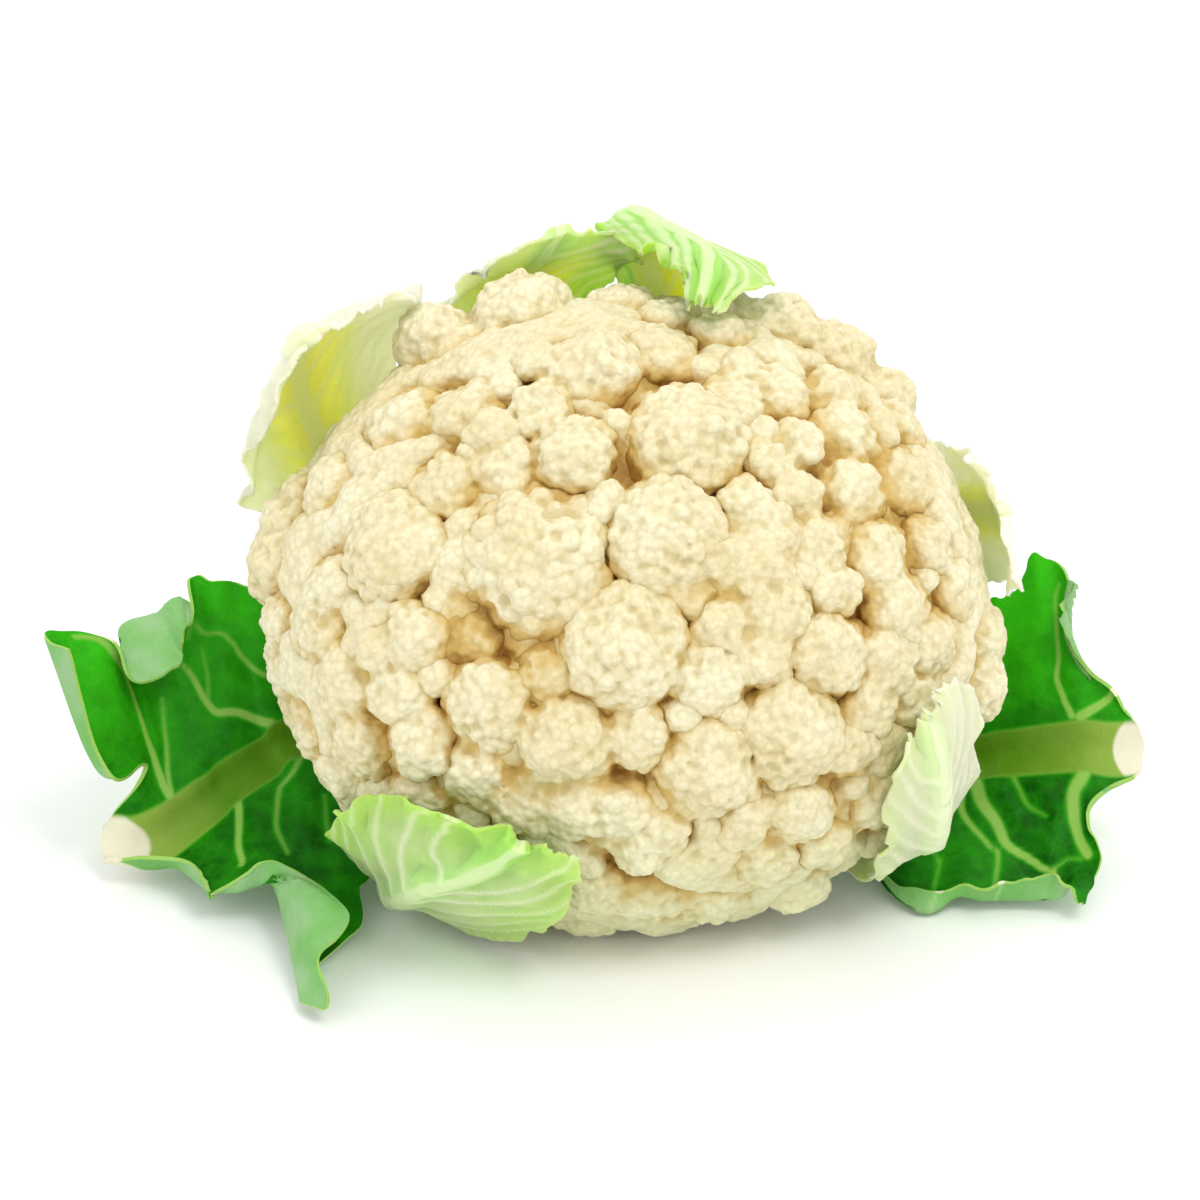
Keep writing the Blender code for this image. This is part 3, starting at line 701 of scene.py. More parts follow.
def flesh_finish():
    """Pale green branches and stalk, faintly fibrous, with painted shade gold and then brown deeper in."""
    curd = settings().curd
    finish = Finish("flesh", Subsurface_Weight=0.3, Subsurface_Radius=FLESH_GLOW, Subsurface_Scale=0.003)
    depth = finish.attribute("depth")
    blotch = finish.grain(0.014, 4.0).over(0.3, 0.7)
    colour = finish.mix(blotch, curd.flesh, (0.82, 0.82, 0.62))
    # Painted shade by depth among the branches: gold, then brown.
    colour = finish.mix(depth.over(6.0, 13.0), colour, curd.gold)
    colour = finish.mix(depth.over(12.0, 15.5), colour, curd.brown)
    finish.bump(finish.grain(0.0016, 4.0, 0.6), 0.3, 0.0005)
    return finish.done(colour, 0.42 + blotch * 0.15)


def dark_leaf_finish():
    """Waxy green face of an outer leaf with painted shade low down and painted light higher up, pale veins
    and an olive midrib.
    """
    leaf = settings().leaf
    finish = Finish("dark_leaf_face", Specular_IOR_Level=0.1)
    vein = finish.attribute("vein")
    midrib = finish.attribute("midrib")
    along = finish.attribute("along")
    net = finish.net(0.0030, 0.15)
    blotch = finish.grain(0.024, 3.0).over(0.32, 0.68)
    streak = finish.grain(0.005, 3.0).over(0.3, 0.7)
    # Painted light and shade: deep green in painted shade near the floor to bright green in painted light
    # higher up, mixed with random blotches and streaks of the leaf's own tone.
    light = (finish.height().over(0.012, 0.055) * 0.7 + blotch * 0.25 + streak * 0.25 - 0.05).clamped()
    colour = finish.mix(light, leaf.deep, leaf.bright)
    colour = finish.mix(net * 0.03, colour, leaf.vein)
    colour = finish.mix(vein.over(0.02, 0.4) * 0.4, colour, leaf.bright)
    colour = finish.mix(vein.over(0.25, 0.8) * 0.9, colour, leaf.vein)
    rib = finish.mix((along.over(0.45, 1.0) + streak * 0.15).clamped(), leaf.olive, leaf.straw)
    colour = finish.mix(midrib.over(0.1, 0.9), colour, rib)
    colour = finish.mix(finish.attribute("trimmed").over(0.1, 0.9), colour, leaf.cut)
    finish.bump(net * 0.4 + finish.grain(0.0015, 3.0) * 0.5, 0.25, 0.0003)
    return finish.done(colour, 0.40 + blotch * 0.14)


def dark_leaf_back_finish():
    """Bloom-covered pale green back of an outer leaf."""
    leaf = settings().leaf
    finish = Finish("dark_leaf_back", Specular_IOR_Level=0.2)
    vein = finish.attribute("vein")
    blotch = finish.grain(0.012, 4.0).over(0.3, 0.7)
    net = finish.net(0.0036, 0.12)
    colour = finish.mix(blotch, leaf.under, leaf.bloom)
    colour = finish.mix(net * 0.05, colour, leaf.milky)
    colour = finish.mix(vein.over(0.2, 0.8) * 0.7, colour, leaf.milky)
    colour = finish.mix(finish.attribute("trimmed").over(0.1, 0.9), colour, leaf.cut)
    finish.bump(net * 0.4 + vein * 2.0, 0.3, 0.0003)
    return finish.done(colour, 0.55 + blotch * 0.1)


def pale_finish(name):
    """A sheet of an inner leaf that lets some light through, still without colour."""
    return Finish(
        name, Specular_IOR_Level=0.3, Subsurface_Weight=0.9, Subsurface_Radius=(0.8, 1.0, 0.4),
        Subsurface_Scale=0.006,
    )


def blanch(finish, colour, weight):
    """Whitens or greens a colour as the leaf's own attribute says."""
    leaf = settings().leaf
    amount = finish.attribute("blanch")
    colour = finish.mix((amount * weight).clamped(), colour, leaf.blanched)
    return finish.mix(((0 - amount) * weight).clamped(), colour, leaf.fresh)


def pale_leaf_finish():
    """Inside of an inner leaf: yellow near the curd, pale green to its margin."""
    leaf = settings().leaf
    finish = pale_finish("pale_leaf_face")
    vein = finish.attribute("vein")
    edge = finish.attribute("edge")
    blotch = finish.grain(0.015, 3.0).over(0.3, 0.7)
    net = finish.net(0.0034, 0.2)
    margin = edge.over(0.28, 0.68)
    colour = finish.mix(margin, leaf.yellow, leaf.pale)
    colour = finish.mix(blotch * 0.25, colour, leaf.milky)
    colour = blanch(finish, colour, margin * 0.6 + 0.2)
    colour = finish.mix(net * 0.08, colour, leaf.milky)
    colour = finish.mix(vein.over(0.1, 0.9) * 0.5, colour, leaf.rib)
    finish.bump(net * 0.4 + vein * 2.0, 0.3, 0.0004)
    return finish.done(colour, 0.45 + blotch * 0.1)


def pale_leaf_back_finish():
    """Outside of an inner leaf: milky green with white ribs."""
    leaf = settings().leaf
    finish = pale_finish("pale_leaf_back")
    vein = finish.attribute("vein")
    blotch = finish.grain(0.014, 3.0).over(0.35, 0.65)
    net = finish.net(0.0034, 0.2)
    colour = finish.mix(finish.attribute("edge").over(0.45, 1.0), leaf.milky, leaf.pale)
    colour = finish.mix(blotch * 0.5, colour, leaf.pale)
    colour = blanch(finish, colour, 0.75)
    colour = finish.mix(net * 0.10, colour, leaf.milky)
    colour = finish.mix(vein.over(0.1, 0.9) * 0.5, colour, leaf.rib)
    finish.bump(net * 0.4 + vein * 2.5, 0.4, 0.0004)
    return finish.done(colour, 0.42 + blotch * 0.12)


def cut_finish():
    """Pale, slightly dry flesh where a leaf or the stalk was cut, greener where the sheet is thin."""
    leaf = settings().leaf
    finish = Finish("cut_flesh", Subsurface_Weight=0.2, Subsurface_Scale=0.002)
    vein = finish.attribute("vein")
    fibre = finish.grain(0.0009, 4.0, 0.6).over(0.3, 0.7)
    colour = finish.mix(fibre * 0.5, leaf.cut, (0.62, 0.60, 0.36))
    colour = finish.mix(1 - vein.over(0.1, 0.4), colour, leaf.vein)
    finish.bump(fibre, 0.4, 0.0003)
    return finish.done(colour, 0.62 + fibre * 0.15)


def stalk_finish():
    """Pale green rind, and at its cut end a ring of strands round a paler pith, drying at the rim."""
    curd = settings().curd
    finish = Finish("stalk", Subsurface_Weight=0.25, Subsurface_Radius=FLESH_GLOW, Subsurface_Scale=0.003)
    ring = finish.attribute("ring")
    end = 1 - finish.attribute("forward").over(-77.6, -76.4)
    blotch = finish.grain(0.010, 4.0).over(0.3, 0.7)
    fibre = finish.grain(0.0010, 4.0, 0.6).over(0.35, 0.65)
    wander = ring + finish.grain(0.006, 2.0) * 0.08 - 0.04
    pith = finish.mix(fibre * 0.3, (0.82, 0.80, 0.60), (0.66, 0.62, 0.36))
    strands = wander.over(0.60, 0.68) * (1 - wander.over(0.74, 0.82))
    pith = finish.mix(strands * (0.35 + fibre * 0.4), pith, (0.42, 0.46, 0.16))
    pith = finish.mix(wander.over(0.90, 1.0) * 0.6, pith, curd.gold)
    rind = finish.mix(blotch, curd.flesh, (0.62, 0.72, 0.36))
    finish.bump(fibre, 0.35, 0.0004)
    return finish.done(finish.mix(end, rind, pith), 0.46 + fibre * 0.2)


# The curd


def spiral(count, span=1.0):
    """Numbered unit vectors, spread evenly from straight ahead to the rim, or past it."""
    for i in range(count):
        rise = 1 - span * (i + 0.5) / count
        flat = math.sqrt(1 - rise * rise)
        yield i, Vector((flat * math.cos(i * GOLDEN_ANGLE), flat * math.sin(i * GOLDEN_ANGLE), rise))


def knobbly_ball(size):
    """A unit ball covered to past its middle with knobs, in the spiral that they grow in."""
    bpy.ops.mesh.primitive_ico_sphere_add(subdivisions=4, radius=1 - 0.2 * size)
    ball = bpy.context.object
    bpy.ops.mesh.primitive_ico_sphere_add(subdivisions=2, radius=size)
    knob = bpy.context.object
    knobs = []
    for _, way in spiral(round(KNOB_CROWD / size**2), KNOB_SPAN):
        way = (way + noise.noise_vector(way * 2.3 + Vector((size * 40, 0, 0))) * size * 0.55).normalized()
        swell = 1.25 - 0.65 * max(way.z, 0) ** 2 + 0.5 * noise.noise(way * 2.9 + Vector((0, size * 50, 0)))
        rise = 1 - 0.6 * size * (1 + 0.8 * noise.noise(way * 1.9 + Vector((0, 0, size * 30))))
        knobs.append(copied(knob, Matrix.Translation(way * rise) @ Matrix.Scale(swell, 4)))
    bpy.data.objects.remove(knob)
    ball = joined([ball, *knobs], "knobbly_ball")
    ball.data.transform(Matrix.Scale(1 / (1 + 0.4 * size), 4))
    return ball


def knoll(kinds, centre, radius, number):
    """A copy of a knobbly ball, its spiral's middle facing outwards, each turned its own way."""
    kind = next(ball for least, ball in kinds if radius >= least)
    turn = outwards(centre).to_track_quat("Z", "Y").to_matrix().to_4x4()
    spin = Matrix.Rotation(number * KNOLL_TURN, 4, "Z")
    return copied(kind, Matrix.Translation(centre) @ turn @ spin @ Matrix.Scale(radius, 4))


def add_painted_shade_depths(obj, drop=0.0):
    """Stores how deep each point lies below the dome, less the drop, and how deep between knobs, for the
    painted shade in the gaps and creases.
    """
    mesh = obj.data
    local = head_places(mesh)
    half = np.array(dome_sizes())
    half_back = half.copy()
    half_back[2] = settings().head.back / MM
    share = np.linalg.norm(local / np.where(local[:, 2:] > 0, half, half_back), axis=1)
    set_attribute(mesh, "depth", (1 - share) * np.linalg.norm(local, axis=1) / np.maximum(share, 0.05) - drop)
    smooth = copied(obj, Matrix())
    applied(smooth, "SMOOTH", factor=0.8, iterations=30)
    normals = np.empty(local.size)
    mesh.vertices.foreach_get("normal", normals)
    rise = coordinates(mesh) - coordinates(smooth.data)
    height = np.sum(rise * normals.reshape(-1, 3), axis=1) / MM
    bpy.data.objects.remove(smooth)
    set_attribute(mesh, "crease", np.clip(0.05 - height * 2.2, 0, 1))


def grown(knolls, name, fineness, swells, granules, drop=0.0):
    """Merges knolls into one skin, makes it uneven and raises the flower buds on it."""
    curd = settings().curd
    floret = joined(knolls, name)
    floret.data.transform(head_matrix())
    applied(floret, "REMESH", mode="VOXEL", voxel_size=fineness)
    displaced(floret, swells, curd.unevenness, 0.5)
    applied(floret, "SMOOTH", factor=0.5, iterations=2)
    displaced(floret, granules, -curd.relief, 0.22)
    add_painted_shade_depths(floret, drop)
    keep_above_floor(floret)
    smoothed(floret)
    return floret


def filler_knolls(kinds, placed):
    """Small knolls where the dome would show between the others, their tops a little lower."""
    count, radius = FILLERS
    knolls = []
    for i, way in spiral(count, 1.1):
        top = Vector(w * h for w, h in zip(way, dome_sizes()))
        size = radius * (1 + 0.45 * noise.noise(way * 7))
        centre = top - outwards(top) * (size + FILLER_DROP)
        if all((centre - other).length > reach + 0.1 * size for other, reach in placed):
            knolls.append(knoll(kinds, centre, size, i))
            placed.append((centre, 0.75 * size))
    return knolls


def bed_knolls(kinds):
    """Knolls all over the dome, a little lower, that show between the others."""
    count, radius = BED
    bpy.ops.mesh.primitive_uv_sphere_add(segments=48, ring_count=32, radius=1)
    core = bpy.context.object
    inner = dome_sizes() - Vector((1, 1, 1)) * (radius + BED_DROP)
    core.data.transform(Matrix.Diagonal((*inner, 1)))
    for vertex in core.data.vertices:
        if vertex.co.z < 0:
            vertex.co.z *= 0.3
    knolls = [core]
    for i, way in spiral(count):
        size = radius * (1 + 0.4 * noise.noise(way * 6))
        knolls.append(knoll(kinds, Vector(w * h for w, h in zip(way, inner)), size, i))
    return knolls


class CAULIFLOWER_OT_florets(bpy.types.Operator):
    """Grow the florets of the curd"""

    bl_idname = "cauliflower.florets"
    bl_label = "Florets"

    def execute(self, context):
        curd = settings().curd
        granules = bpy.data.textures.new("granules", "VORONOI")
        granules.distance_metric = "DISTANCE_SQUARED"
        granules.noise_scale = curd.granule
        swells = bpy.data.textures.new("swells", "CLOUDS")
        swells.noise_scale = SWELL_SIZE
        swells.noise_depth = 0
        noise.seed_set(KNOB_SEED)
        kinds = [(least, knobbly_ball(size)) for least, size in KNOLL_KINDS]
        finish = curd_finish()
        placed = []
        for name, table in FLORETS.items():
            knolls = []
            for across, up, radius, *proud in table:
                radius += curd.crowding / MM
                centre = on_dome(across, up, radius, *proud)
                placed.append((centre, radius))
                knolls.append(knoll(kinds, centre, radius, len(placed)))
            piece = grown(knolls, "floret_" + name, curd.fineness, swells, granules)
            finish_piece(piece, "curd", finish)
        for ring, (count, share, forward, radius) in enumerate(BACK_RINGS):
            knolls = []
            for i in range(count):
                clock = 360 * (i + 0.5) / count
                centre = polar(clock, share * dome_radius(clock), forward)
                knolls.append(knoll(kinds, centre, radius, i))
            piece = grown(knolls, f"floret_back_{ring + 1}", curd.fineness * BACK_MESH, swells, granules)
            finish_piece(piece, "curd", finish)
        low = bed_knolls(kinds) + filler_knolls(kinds, placed)
        bed = grown(low, "floret_bed", curd.fineness * BED_MESH, swells, granules, FILLER_DROP)
        finish_piece(bed, "curd", finish)
        for _, ball in kinds:
            bpy.data.objects.remove(ball)
        return {"FINISHED"}


class CAULIFLOWER_OT_branches(bpy.types.Operator):
    """Grow the branches that carry the florets"""

    bl_idname = "cauliflower.branches"
    bl_label = "Branches"

    def execute(self, context):
        head = settings().head
        inset = settings().curd.core_inset
        bpy.ops.mesh.primitive_uv_sphere_add(segments=64, ring_count=40, radius=1)
        core = bpy.context.object
        for vertex in core.data.vertices:
            depth = head.front if vertex.co.z > 0 else head.back * 0.8
            size = Vector((head.half_width, head.half_height, depth)) - Vector((inset, inset, inset))
            vertex.co = Vector(c * s / MM for c, s in zip(vertex.co, size))
        arms = [core]
        root, back, step, thin, spread = BRANCH
        for ring, (count, share, forward, radius) in enumerate(BACK_RINGS):
            for i in range(count):
                clock = 360 * (i + 0.5) / count
                low = polar(clock, root, back + step * ring)
                high = polar(clock, share * dome_radius(clock), forward)
                along = high - low
                bpy.ops.mesh.primitive_cone_add(
                    vertices=20, radius1=thin, radius2=radius * spread, depth=along.length, location=(0, 0, 0)
                )
                arm = bpy.context.object
                turn = along.to_track_quat("Z", "Y").to_matrix().to_4x4()
                arm.data.transform(Matrix.Translation((low + high) / 2) @ turn)
                arms.append(arm)
        branches = joined(arms, "branches")
        branches.data.transform(head_matrix())
        applied(branches, "REMESH", mode="VOXEL", voxel_size=BRANCH_MESH)
        applied(branches, "SMOOTH", factor=0.7, iterations=8)
        add_painted_shade_depths(branches)
        smoothed(branches)
        finish_piece(branches, "curd", flesh_finish())
        return {"FINISHED"}


# The leaves


def curve_weights(count, samples):
    """Weights that run a smooth curve of so many samples through count values."""
    weights = np.zeros((samples, count + 2))
    for row, place in enumerate(np.linspace(0, count - 1, samples)):
        i = min(int(place), count - 2)
        t = place - i
        near = (-(t**3) + 2 * t**2 - t, 3 * t**3 - 5 * t**2 + 2, -3 * t**3 + 4 * t**2 + t, t**3 - t**2)
        weights[row, i : i + 4] = np.array(near) / 2
    inner = weights[:, 1:-1].copy()
    inner[:, 0] += 2 * weights[:, 0]
    inner[:, 1] -= weights[:, 0]
    inner[:, -1] += 2 * weights[:, -1]
    inner[:, -2] -= weights[:, -1]
    return inner


def unit(vectors):
    return vectors / np.maximum(np.linalg.norm(vectors, axis=-1, keepdims=True), 1e-9)


def ripple(values, seed):
    """Smooth noise along a line, between about -1 and 1."""
    return np.array([noise.noise((float(value), seed * 3.7, 0.5)) for value in values]) * 1.6


class Blade:
    """A leaf as a fine grid over its cage: rows from foot to tip, columns clockwise across it."""

    def __init__(self, cage, shares):
        steps = settings().leaf.steps
        rows, columns = len(cage), len(shares)
        self.shape = ((rows - 1) * steps + 1, (columns - 1) * steps + 1)
        down = curve_weights(rows, self.shape[0])
        over = curve_weights(columns, self.shape[1])
        places = np.array([[tuple(place) for place in row] for row in cage])
        self.points = np.einsum("ui,vj,ijk->uvk", down, over, places)
        self.share = np.interp(np.linspace(0, columns - 1, self.shape[1]), np.arange(columns), shares)
        self.along = np.linspace(0, 1, self.shape[0])
        self.vein, self.midrib, self.trimmed, self.rib, self.blanch = np.zeros((5, *self.shape))
        self.gap = np.full(self.shape, np.inf)

    def loose(self):
        """How far the leaf has come free of the stalk, row by row."""
        return np.clip(self.along / FOOT_SHARE, 0, 1)[:, None]

    def frames(self):
        """Unit vectors along the leaf, across it, and out of its face."""
        along = np.gradient(self.points, axis=0)
        across = np.gradient(self.points, axis=1)
        return unit(along), unit(across), unit(np.cross(across, along))

    def at(self, along, share):
        """Points of the leaf at shares of its length and of its half width."""
        u = np.clip(along, 0, 1) * (self.shape[0] - 1)
        v = np.interp(share, self.share, np.arange(self.shape[1]))
        i = np.minimum(u.astype(int), self.shape[0] - 2)
        j = np.minimum(v.astype(int), self.shape[1] - 2)
        s, t = (u - i)[:, None], (v - j)[:, None]
        p = self.points
        before = p[i, j] * (1 - s) + p[i + 1, j] * s
        after = p[i, j + 1] * (1 - s) + p[i + 1, j + 1] * s
        return before * (1 - t) + after * t

    def seen_at(self, path):
        """A smooth path on the leaf, through the points seen nearest to places across and up."""
        look, rise, distance = sight()
        near = distance / (distance - self.points @ np.array(look))
        across, up = self.points[..., 0] * near, self.points @ np.array(rise) * near
        found = []
        for place in path:
            miss = (across - place[0]) ** 2 + (up - place[1]) ** 2 - 0.05 * self.points @ np.array(look)
            i, j = np.unravel_index(miss.argmin(), self.shape)
            found.append((self.along[i], self.share[j]))
        curve = curve_weights(len(path), len(path) * 24) @ np.array(found)
        return self.at(curve[:, 0], curve[:, 1])

    def add_vein(self, path, wide, narrow):
        """A vein along a path of points, from its wide end to its narrow end, in millimetres."""
        for k, point in enumerate(path):
            width = wide + (narrow - wide) * k / max(len(path) - 1, 1)
            spread = max(width, FINEST_VEIN)
            distance = np.linalg.norm(self.points - point, axis=2)
            strength = np.exp(-((distance / spread) ** 2)) * (width / spread) ** 0.7
            self.vein = np.maximum(self.vein, strength)
            self.rib = np.maximum(self.rib, strength * VEIN_RISE * width)
            self.gap = np.minimum(self.gap, distance - width)

    def add_midrib(self, wide, narrow, groove=0.0):
        """Marks and hollows the midrib; wide and narrow are its half widths at the foot and at the tip."""
        widths = wide + (narrow - wide) * self.along[:, None]
        reach = np.abs(self.across_from_midrib()) / widths
        self.points = self.points - self.frames()[2] * (groove * np.exp(-((reach * 1.3) ** 2)))[..., None]
        self.midrib = np.clip((1.25 - reach) / 0.4, 0, 1)
        self.trimmed = self.midrib * np.clip((self.along[:, None] - 0.87 - 0.05 * reach**2) * 50, 0, 1)
        self.vein = np.maximum(self.vein, self.midrib)
        self.gap = np.minimum(self.gap, (reach - 1) * widths)

    def across_from_midrib(self):
        """How far each point lies to the side of the middle of the leaf."""
        steps = np.linalg.norm(np.diff(self.points, axis=1, prepend=self.points[:, :1]), axis=2)
        side = np.cumsum(steps, axis=1)
        return side - side[:, np.argmin(np.abs(self.share))][:, None]

    def add_side_veins(self, count, start, end, sweep, wide, narrow):
        """Pairs of veins that leave the midrib in turn and curve towards the tip."""
        t = np.linspace(0, 1, 36)
        for k in range(count):
            for side in (-1, 1):
                first = start + (end - start) * (k + 0.25 * side + 0.25) / count
                wander = 0.02 * ripple(t * 3, k * 2 + side)
                path = self.at(first + sweep * t**1.3 * (1 - 0.4 * first) + wander, side * t * 0.97)
                self.add_vein(path, wide, narrow)

    def quilt(self, height, reach):
        """Raises the blade between its veins."""
        face = self.frames()[2]
        swell = 1 - np.exp(-((np.maximum(self.gap, 0) / reach) ** 2))
        self.points = self.points + face * (swell * height * self.loose())[..., None]

    def ruffle(self, height, waves, seed):
        """Waves the two margins, more towards the edge."""
        face = self.frames()[2]
        for side in (-1, 1):
            weight = np.clip(side * self.share, 0, 1) **3.0 * self.loose()
            wave = np.sin(self.along * waves * math.tau + 2.5 * ripple(self.along * waves * 0.7, seed + side))
            self.points = self.points + face * (height * wave[:, None] * weight)[..., None]

    def pucker(self, height, size):
        """Crinkles the blade between its veins, more towards its margins."""
        face = self.frames()[2]
        crinkle = np.array([noise.noise(Vector(point) / size) for point in self.points.reshape(-1, 3)])
        weight = height * self.loose() * np.clip(self.gap / 3, 0, 1) * np.clip(self.edges() * 1.8 - 0.4, 0, 1)
        self.points = self.points + face * (crinkle.reshape(self.shape) * weight)[..., None]

    def fray(self, size, seed, tip_size):
        """Makes the margins and the tip uneven."""
        along, across, _ = self.frames()
        for side in (-1, 1):
            weight = np.clip(side * self.share, 0, 1) ** 8
            uneven = ripple(self.along * 14, seed + side) + 0.5 * ripple(self.along * 37, seed + 5 * side)
            shift = size * uneven[:, None] * weight[None, :] * side
            self.points = self.points + across * shift[..., None]
        uneven = ripple(self.share * 5, seed + 9) + 0.5 * ripple(self.share * 13, seed + 11)
        shift = tip_size * uneven[None, :] * (self.along**16)[:, None]
        self.points = self.points + along * shift[..., None]

    def edges(self, tip=True):
        """How near each point lies to a margin, and to the tip too unless that was cut off: 1 at the edge."""
        edge = np.broadcast_to(np.abs(self.share)[None, :], self.shape)
        return np.maximum(edge, self.along[:, None] ** 3) if tip else edge

    def sheet(self, name, thickness, tip=True):
        """The leaf's mesh, thickened away from its face. thickness is in millimetres, point by point."""
        rows, columns = self.shape
        bpy.ops.mesh.primitive_grid_add(x_subdivisions=columns - 1, y_subdivisions=rows - 1, size=1)
        leaf = bpy.context.object
        leaf.name = leaf.data.name = name
        leaf.data.vertices.foreach_set("co", self.points.ravel())
        leaf.data.transform(head_matrix())
        marks = {
            "vein": self.vein, "midrib": self.midrib, "trimmed": self.trimmed, "edge": self.edges(tip),
            "along": np.broadcast_to(self.along[:, None], self.shape), "blanch": self.blanch,
        }
        for mark, values in marks.items():
            set_attribute(leaf.data, mark, values)
        group = leaf.vertex_groups.new(name="thickness")
        thickest = float(thickness.max())
        for i, value in enumerate(thickness.ravel() / thickest):
            group.add([i], float(value), "REPLACE")
        for _ in range(3):
            leaf.data.materials.append(None)
        applied(
            leaf, "SOLIDIFY", thickness=thickest * MM, offset=-1, vertex_group=group.name,
            material_offset=1, material_offset_rim=2,
        )
        keep_above_floor(leaf)
        select_only(leaf)
        bpy.ops.object.shade_smooth_by_angle(angle=math.radians(50))
        return leaf


def base_row(clock, radius, forward, half_width, shares):
    """Points round the stalk, clockwise, for the foot of a leaf."""
    spread = math.degrees(half_width / radius)
    return [polar(clock + share * spread, radius, forward) for share in shares]


def foot_rows(clock, forward, half_width, shares):
    """A leaf's foot runs along the stalk before it turns outwards."""
    return [
        base_row(clock, 20.6, forward - 6, half_width, shares),
        base_row(clock, 24.2, forward, half_width, shares),
    ]


def inner_rows(stations):
    """The cage of a leaf that cups the curd: it follows the dome's rim at its own distance."""
    rows = []
    for clock, reach, forward, before, after in stations:
        radius = reach * dome_radius(clock)
        row = []
        for share in INNER_SHARES:
            side = before if share < 0 else after
            here = clock + math.degrees(share * side / radius)
            cupped = reach - max(reach - 1.03, 0) * share * share * min(side / 48, 0.5)
            row.append(polar(here, cupped * dome_radius(here), forward))
        rows.append(row)
    return rows


def rib_thickness(blade, thick, half_width):
    """Sheet thickness with a midrib that thins towards the tip."""
    taper = 1 - 0.5 * blade.along[:, None]
    reach = np.abs(blade.across_from_midrib()) / (half_width * taper)
    rib = thick * taper * np.exp(-(reach**3))
    foot = np.clip(1 - blade.along[:, None] / 0.22, 0, 1) * thick * 0.75
    blade_thickness = settings().leaf.blade / MM * (1.15 - 0.35 * np.abs(blade.share)[None, :])
    return np.maximum(rib, foot) + blade_thickness + blade.rib


class CAULIFLOWER_OT_inner_leaves(bpy.types.Operator):
    """Wrap the pale inner leaves round the curd"""

    bl_idname = "cauliflower.inner_leaves"
    bl_label = "Inner Leaves"

    def execute(self, context):
        face, back = pale_leaf_finish(), pale_leaf_back_finish()
        for seed, (name, (foot, stations)) in enumerate(INNER_LEAVES.items()):
            blade = Blade(foot_rows(*foot, INNER_SHARES) + inner_rows(stations), INNER_SHARES)
            blade.add_midrib(wide=4.5, narrow=0.8)
            blade.add_side_veins(count=7, start=0.22, end=0.85, sweep=0.35, wide=1.2, narrow=0.5)
            blade.blanch += np.interp(blade.share, (-1, 1), BLANCHED[name])
            blade.quilt(height=0.7, reach=3.0)
            blade.pucker(height=2.2, size=6.0)
            blade.ruffle(height=1.6, waves=6, seed=seed)
            blade.fray(size=1.3, seed=seed, tip_size=1.6)
            leaf = blade.sheet(name + "_blade", rib_thickness(blade, thick=4.0, half_width=6.0))
            finish_piece(leaf, name, face, back, back)
        return {"FINISHED"}


class CAULIFLOWER_OT_outer_leaves(bpy.types.Operator):
    """Spread the two dark outer leaves, trimmed across"""

    bl_idname = "cauliflower.outer_leaves"
    bl_label = "Outer Leaves"

    def execute(self, context):
        finishes = dark_leaf_finish(), dark_leaf_back_finish(), cut_finish()
        for seed, (name, (foot, rows)) in enumerate(OUTER_LEAVES.items()):
            cage = foot_rows(*foot, OUTER_SHARES) + [[sighted(*place) for place in row] for row in rows]
            blade = Blade(cage, OUTER_SHARES)
            blade.add_midrib(wide=4.0, narrow=6.2, groove=1.4)
            for wide, narrow, path in OUTER_VEINS[name]:
                blade.add_vein(blade.seen_at(path), wide, narrow)
            blade.quilt(height=0.9, reach=3.5)
            blade.ruffle(height=0.8, waves=7, seed=seed + 20)
            blade.fray(size=1.1, seed=seed + 20, tip_size=0.8)
            leaf = blade.sheet(name + "_blade", rib_thickness(blade, thick=7.0, half_width=7.0), tip=False)
            finish_piece(leaf, name, *finishes)
        return {"FINISHED"}


class CAULIFLOWER_OT_stalk(bpy.types.Operator):
    """Cut the stalk and the bases of the oldest leaves"""

    bl_idname = "cauliflower.stalk"
    bl_label = "Stalk"

    def execute(self, context):
        flesh = bpy.data.materials["flesh"]
        cut = cut_finish()
        frustums = []
        for low, high, end_radius, radius in STALK:
            middle = (0, 0, (low + high) / 2)
            bpy.ops.mesh.primitive_cone_add(
                vertices=96, radius1=end_radius, radius2=radius, depth=high - low, location=middle
            )
            frustums.append(context.object)
        stalk = joined(frustums, "stalk_flesh")
        bpy.ops.object.transform_apply()
        stalk.data.transform(head_matrix())
        fibres = bpy.data.textures.new("fibres", "CLOUDS")
        fibres.noise_scale = 0.006
        applied(stalk, "REMESH", mode="VOXEL", voxel_size=STALK_MESH)
        applied(stalk, "SMOOTH", factor=0.6, iterations=6)
        displaced(stalk, fibres, 0.0012, 0.6)
        local = head_places(stalk.data)
        set_attribute(stalk.data, "ring", np.linalg.norm(local[:, :2], axis=1) / STALK[-1][2])
        set_attribute(stalk.data, "forward", local[:, 2])
        smoothed(stalk)
        finish_piece(stalk, "stalk", stalk_finish())
        for name, (clock, sizes) in LEAF_BASES.items():
            cage = [base_row(clock, radius, forward, width, INNER_SHARES) for radius, forward, width in sizes]
            blade = Blade(cage, INNER_SHARES)
            blade.vein[:] = 1
            thickness = BASE_THICKNESS * (1 - 0.75 * np.abs(blade.share[None, :]) ** 2.5)
            piece = blade.sheet(name + "_flesh", thickness * np.ones(blade.shape))
            finish_piece(piece, name, flesh, flesh, cut)
        return {"FINISHED"}


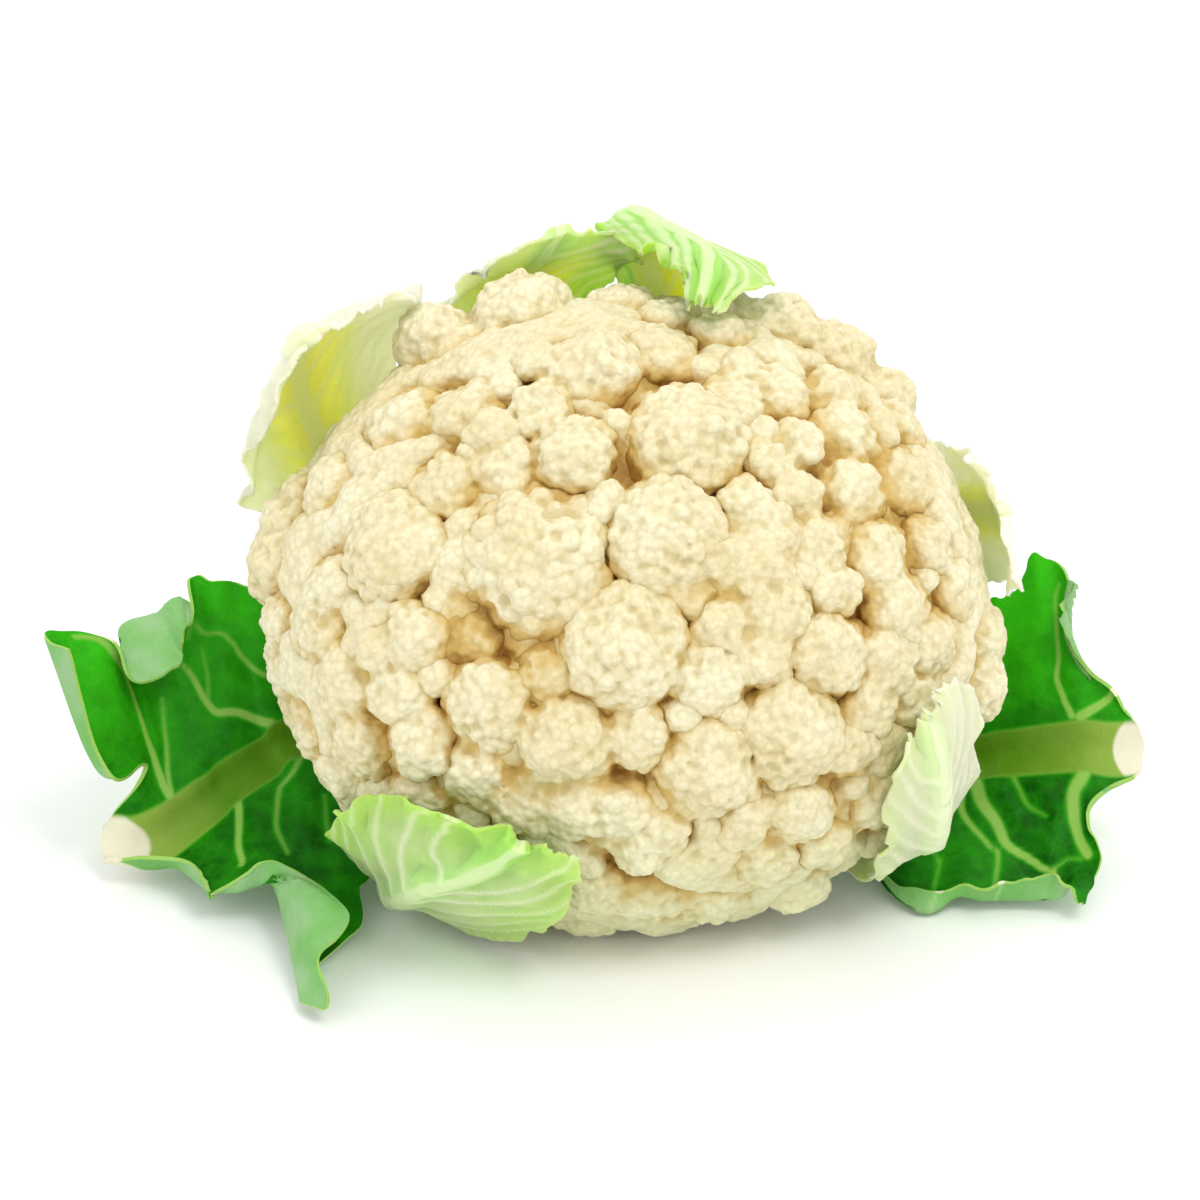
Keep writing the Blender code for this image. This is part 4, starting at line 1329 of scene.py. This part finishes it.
class CAULIFLOWER_OT_stage(bpy.types.Operator):
    """Set the floor, the lights and the camera"""

    bl_idname = "cauliflower.stage"
    bl_label = "Stage"

    def execute(self, context):
        scene = context.scene
        stage = settings().stage
        bpy.ops.mesh.primitive_plane_add(size=8)
        floor = context.object
        floor.name = "floor"
        finish = Finish("floor", Roughness=0.6, Specular_IOR_Level=0.2)
        floor.data.materials.append(finish.done(stage.floor))

        world = bpy.data.worlds.new("studio")
        world.use_nodes = True
        background = world.node_tree.nodes["Background"]
        background.inputs["Color"].default_value = (1, 1, 1, 1)
        background.inputs["Strength"].default_value = stage.sky
        scene.world = world
        target = Vector(settings().head.centre)
        for name, place, size, power, colour in LAMPS:
            lamp = bpy.data.lights.new(name, "AREA")
            lamp.shape = "DISK"
            lamp.size = size
            lamp.energy = power
            lamp.color = colour
            holder = bpy.data.objects.new(name, lamp)
            holder.location = place
            holder.rotation_euler = (Vector(place) - target).to_track_quat("Z", "Y").to_euler()
            scene.collection.objects.link(holder)

        eye = Vector((0, -math.cos(stage.elevation), math.sin(stage.elevation)))
        turn = eye.to_track_quat("Z", "Y")
        aim = target + turn @ Vector((AIM[0] * MM, AIM[1] * MM, 0))
        camera = bpy.data.objects.new("camera", bpy.data.cameras.new("camera"))
        camera.data.lens = stage.lens
        camera.data.sensor_width = 36
        camera.location = aim + eye * stage.distance
        camera.rotation_euler = turn.to_euler()
        scene.collection.objects.link(camera)
        scene.camera = camera
        scene.view_settings.view_transform = "Standard"
        return {"FINISHED"}


class CAULIFLOWER_PT_panel(bpy.types.Panel):
    """The head's sizes and colours, and a button for each group of pieces"""

    bl_idname = "CAULIFLOWER_PT_panel"
    bl_label = "Cauliflower"
    bl_space_type = "VIEW_3D"
    bl_region_type = "UI"
    bl_category = "Cauliflower"

    def draw(self, context):
        for group in ("head", "curd", "leaf", "stage"):
            column = self.layout.box().column()
            values = getattr(context.scene.cauliflower, group)
            for name in values.bl_rna.properties.keys():
                if name not in {"rna_type", "name"}:
                    column.prop(values, name)
        for operator in OPERATORS:
            self.layout.operator(operator.bl_idname)


OPERATORS = (
    CAULIFLOWER_OT_branches,
    CAULIFLOWER_OT_florets,
    CAULIFLOWER_OT_inner_leaves,
    CAULIFLOWER_OT_outer_leaves,
    CAULIFLOWER_OT_stalk,
    CAULIFLOWER_OT_stage,
)
CLASSES = (
    HeadSettings,
    CurdSettings,
    LeafSettings,
    StageSettings,
    CauliflowerSettings,
    *OPERATORS,
    CAULIFLOWER_PT_panel,
)


def register():
    for cls in CLASSES:
        bpy.utils.register_class(cls)
    bpy.types.Scene.cauliflower = PointerProperty(type=CauliflowerSettings)


def unregister():
    del bpy.types.Scene.cauliflower
    for cls in reversed(CLASSES):
        bpy.utils.unregister_class(cls)


def main():
    register()
    bpy.ops.cauliflower.branches()
    bpy.ops.cauliflower.florets()
    bpy.ops.cauliflower.inner_leaves()
    bpy.ops.cauliflower.outer_leaves()
    bpy.ops.cauliflower.stalk()
    bpy.ops.cauliflower.stage()


if __name__ == "__main__":
    main()
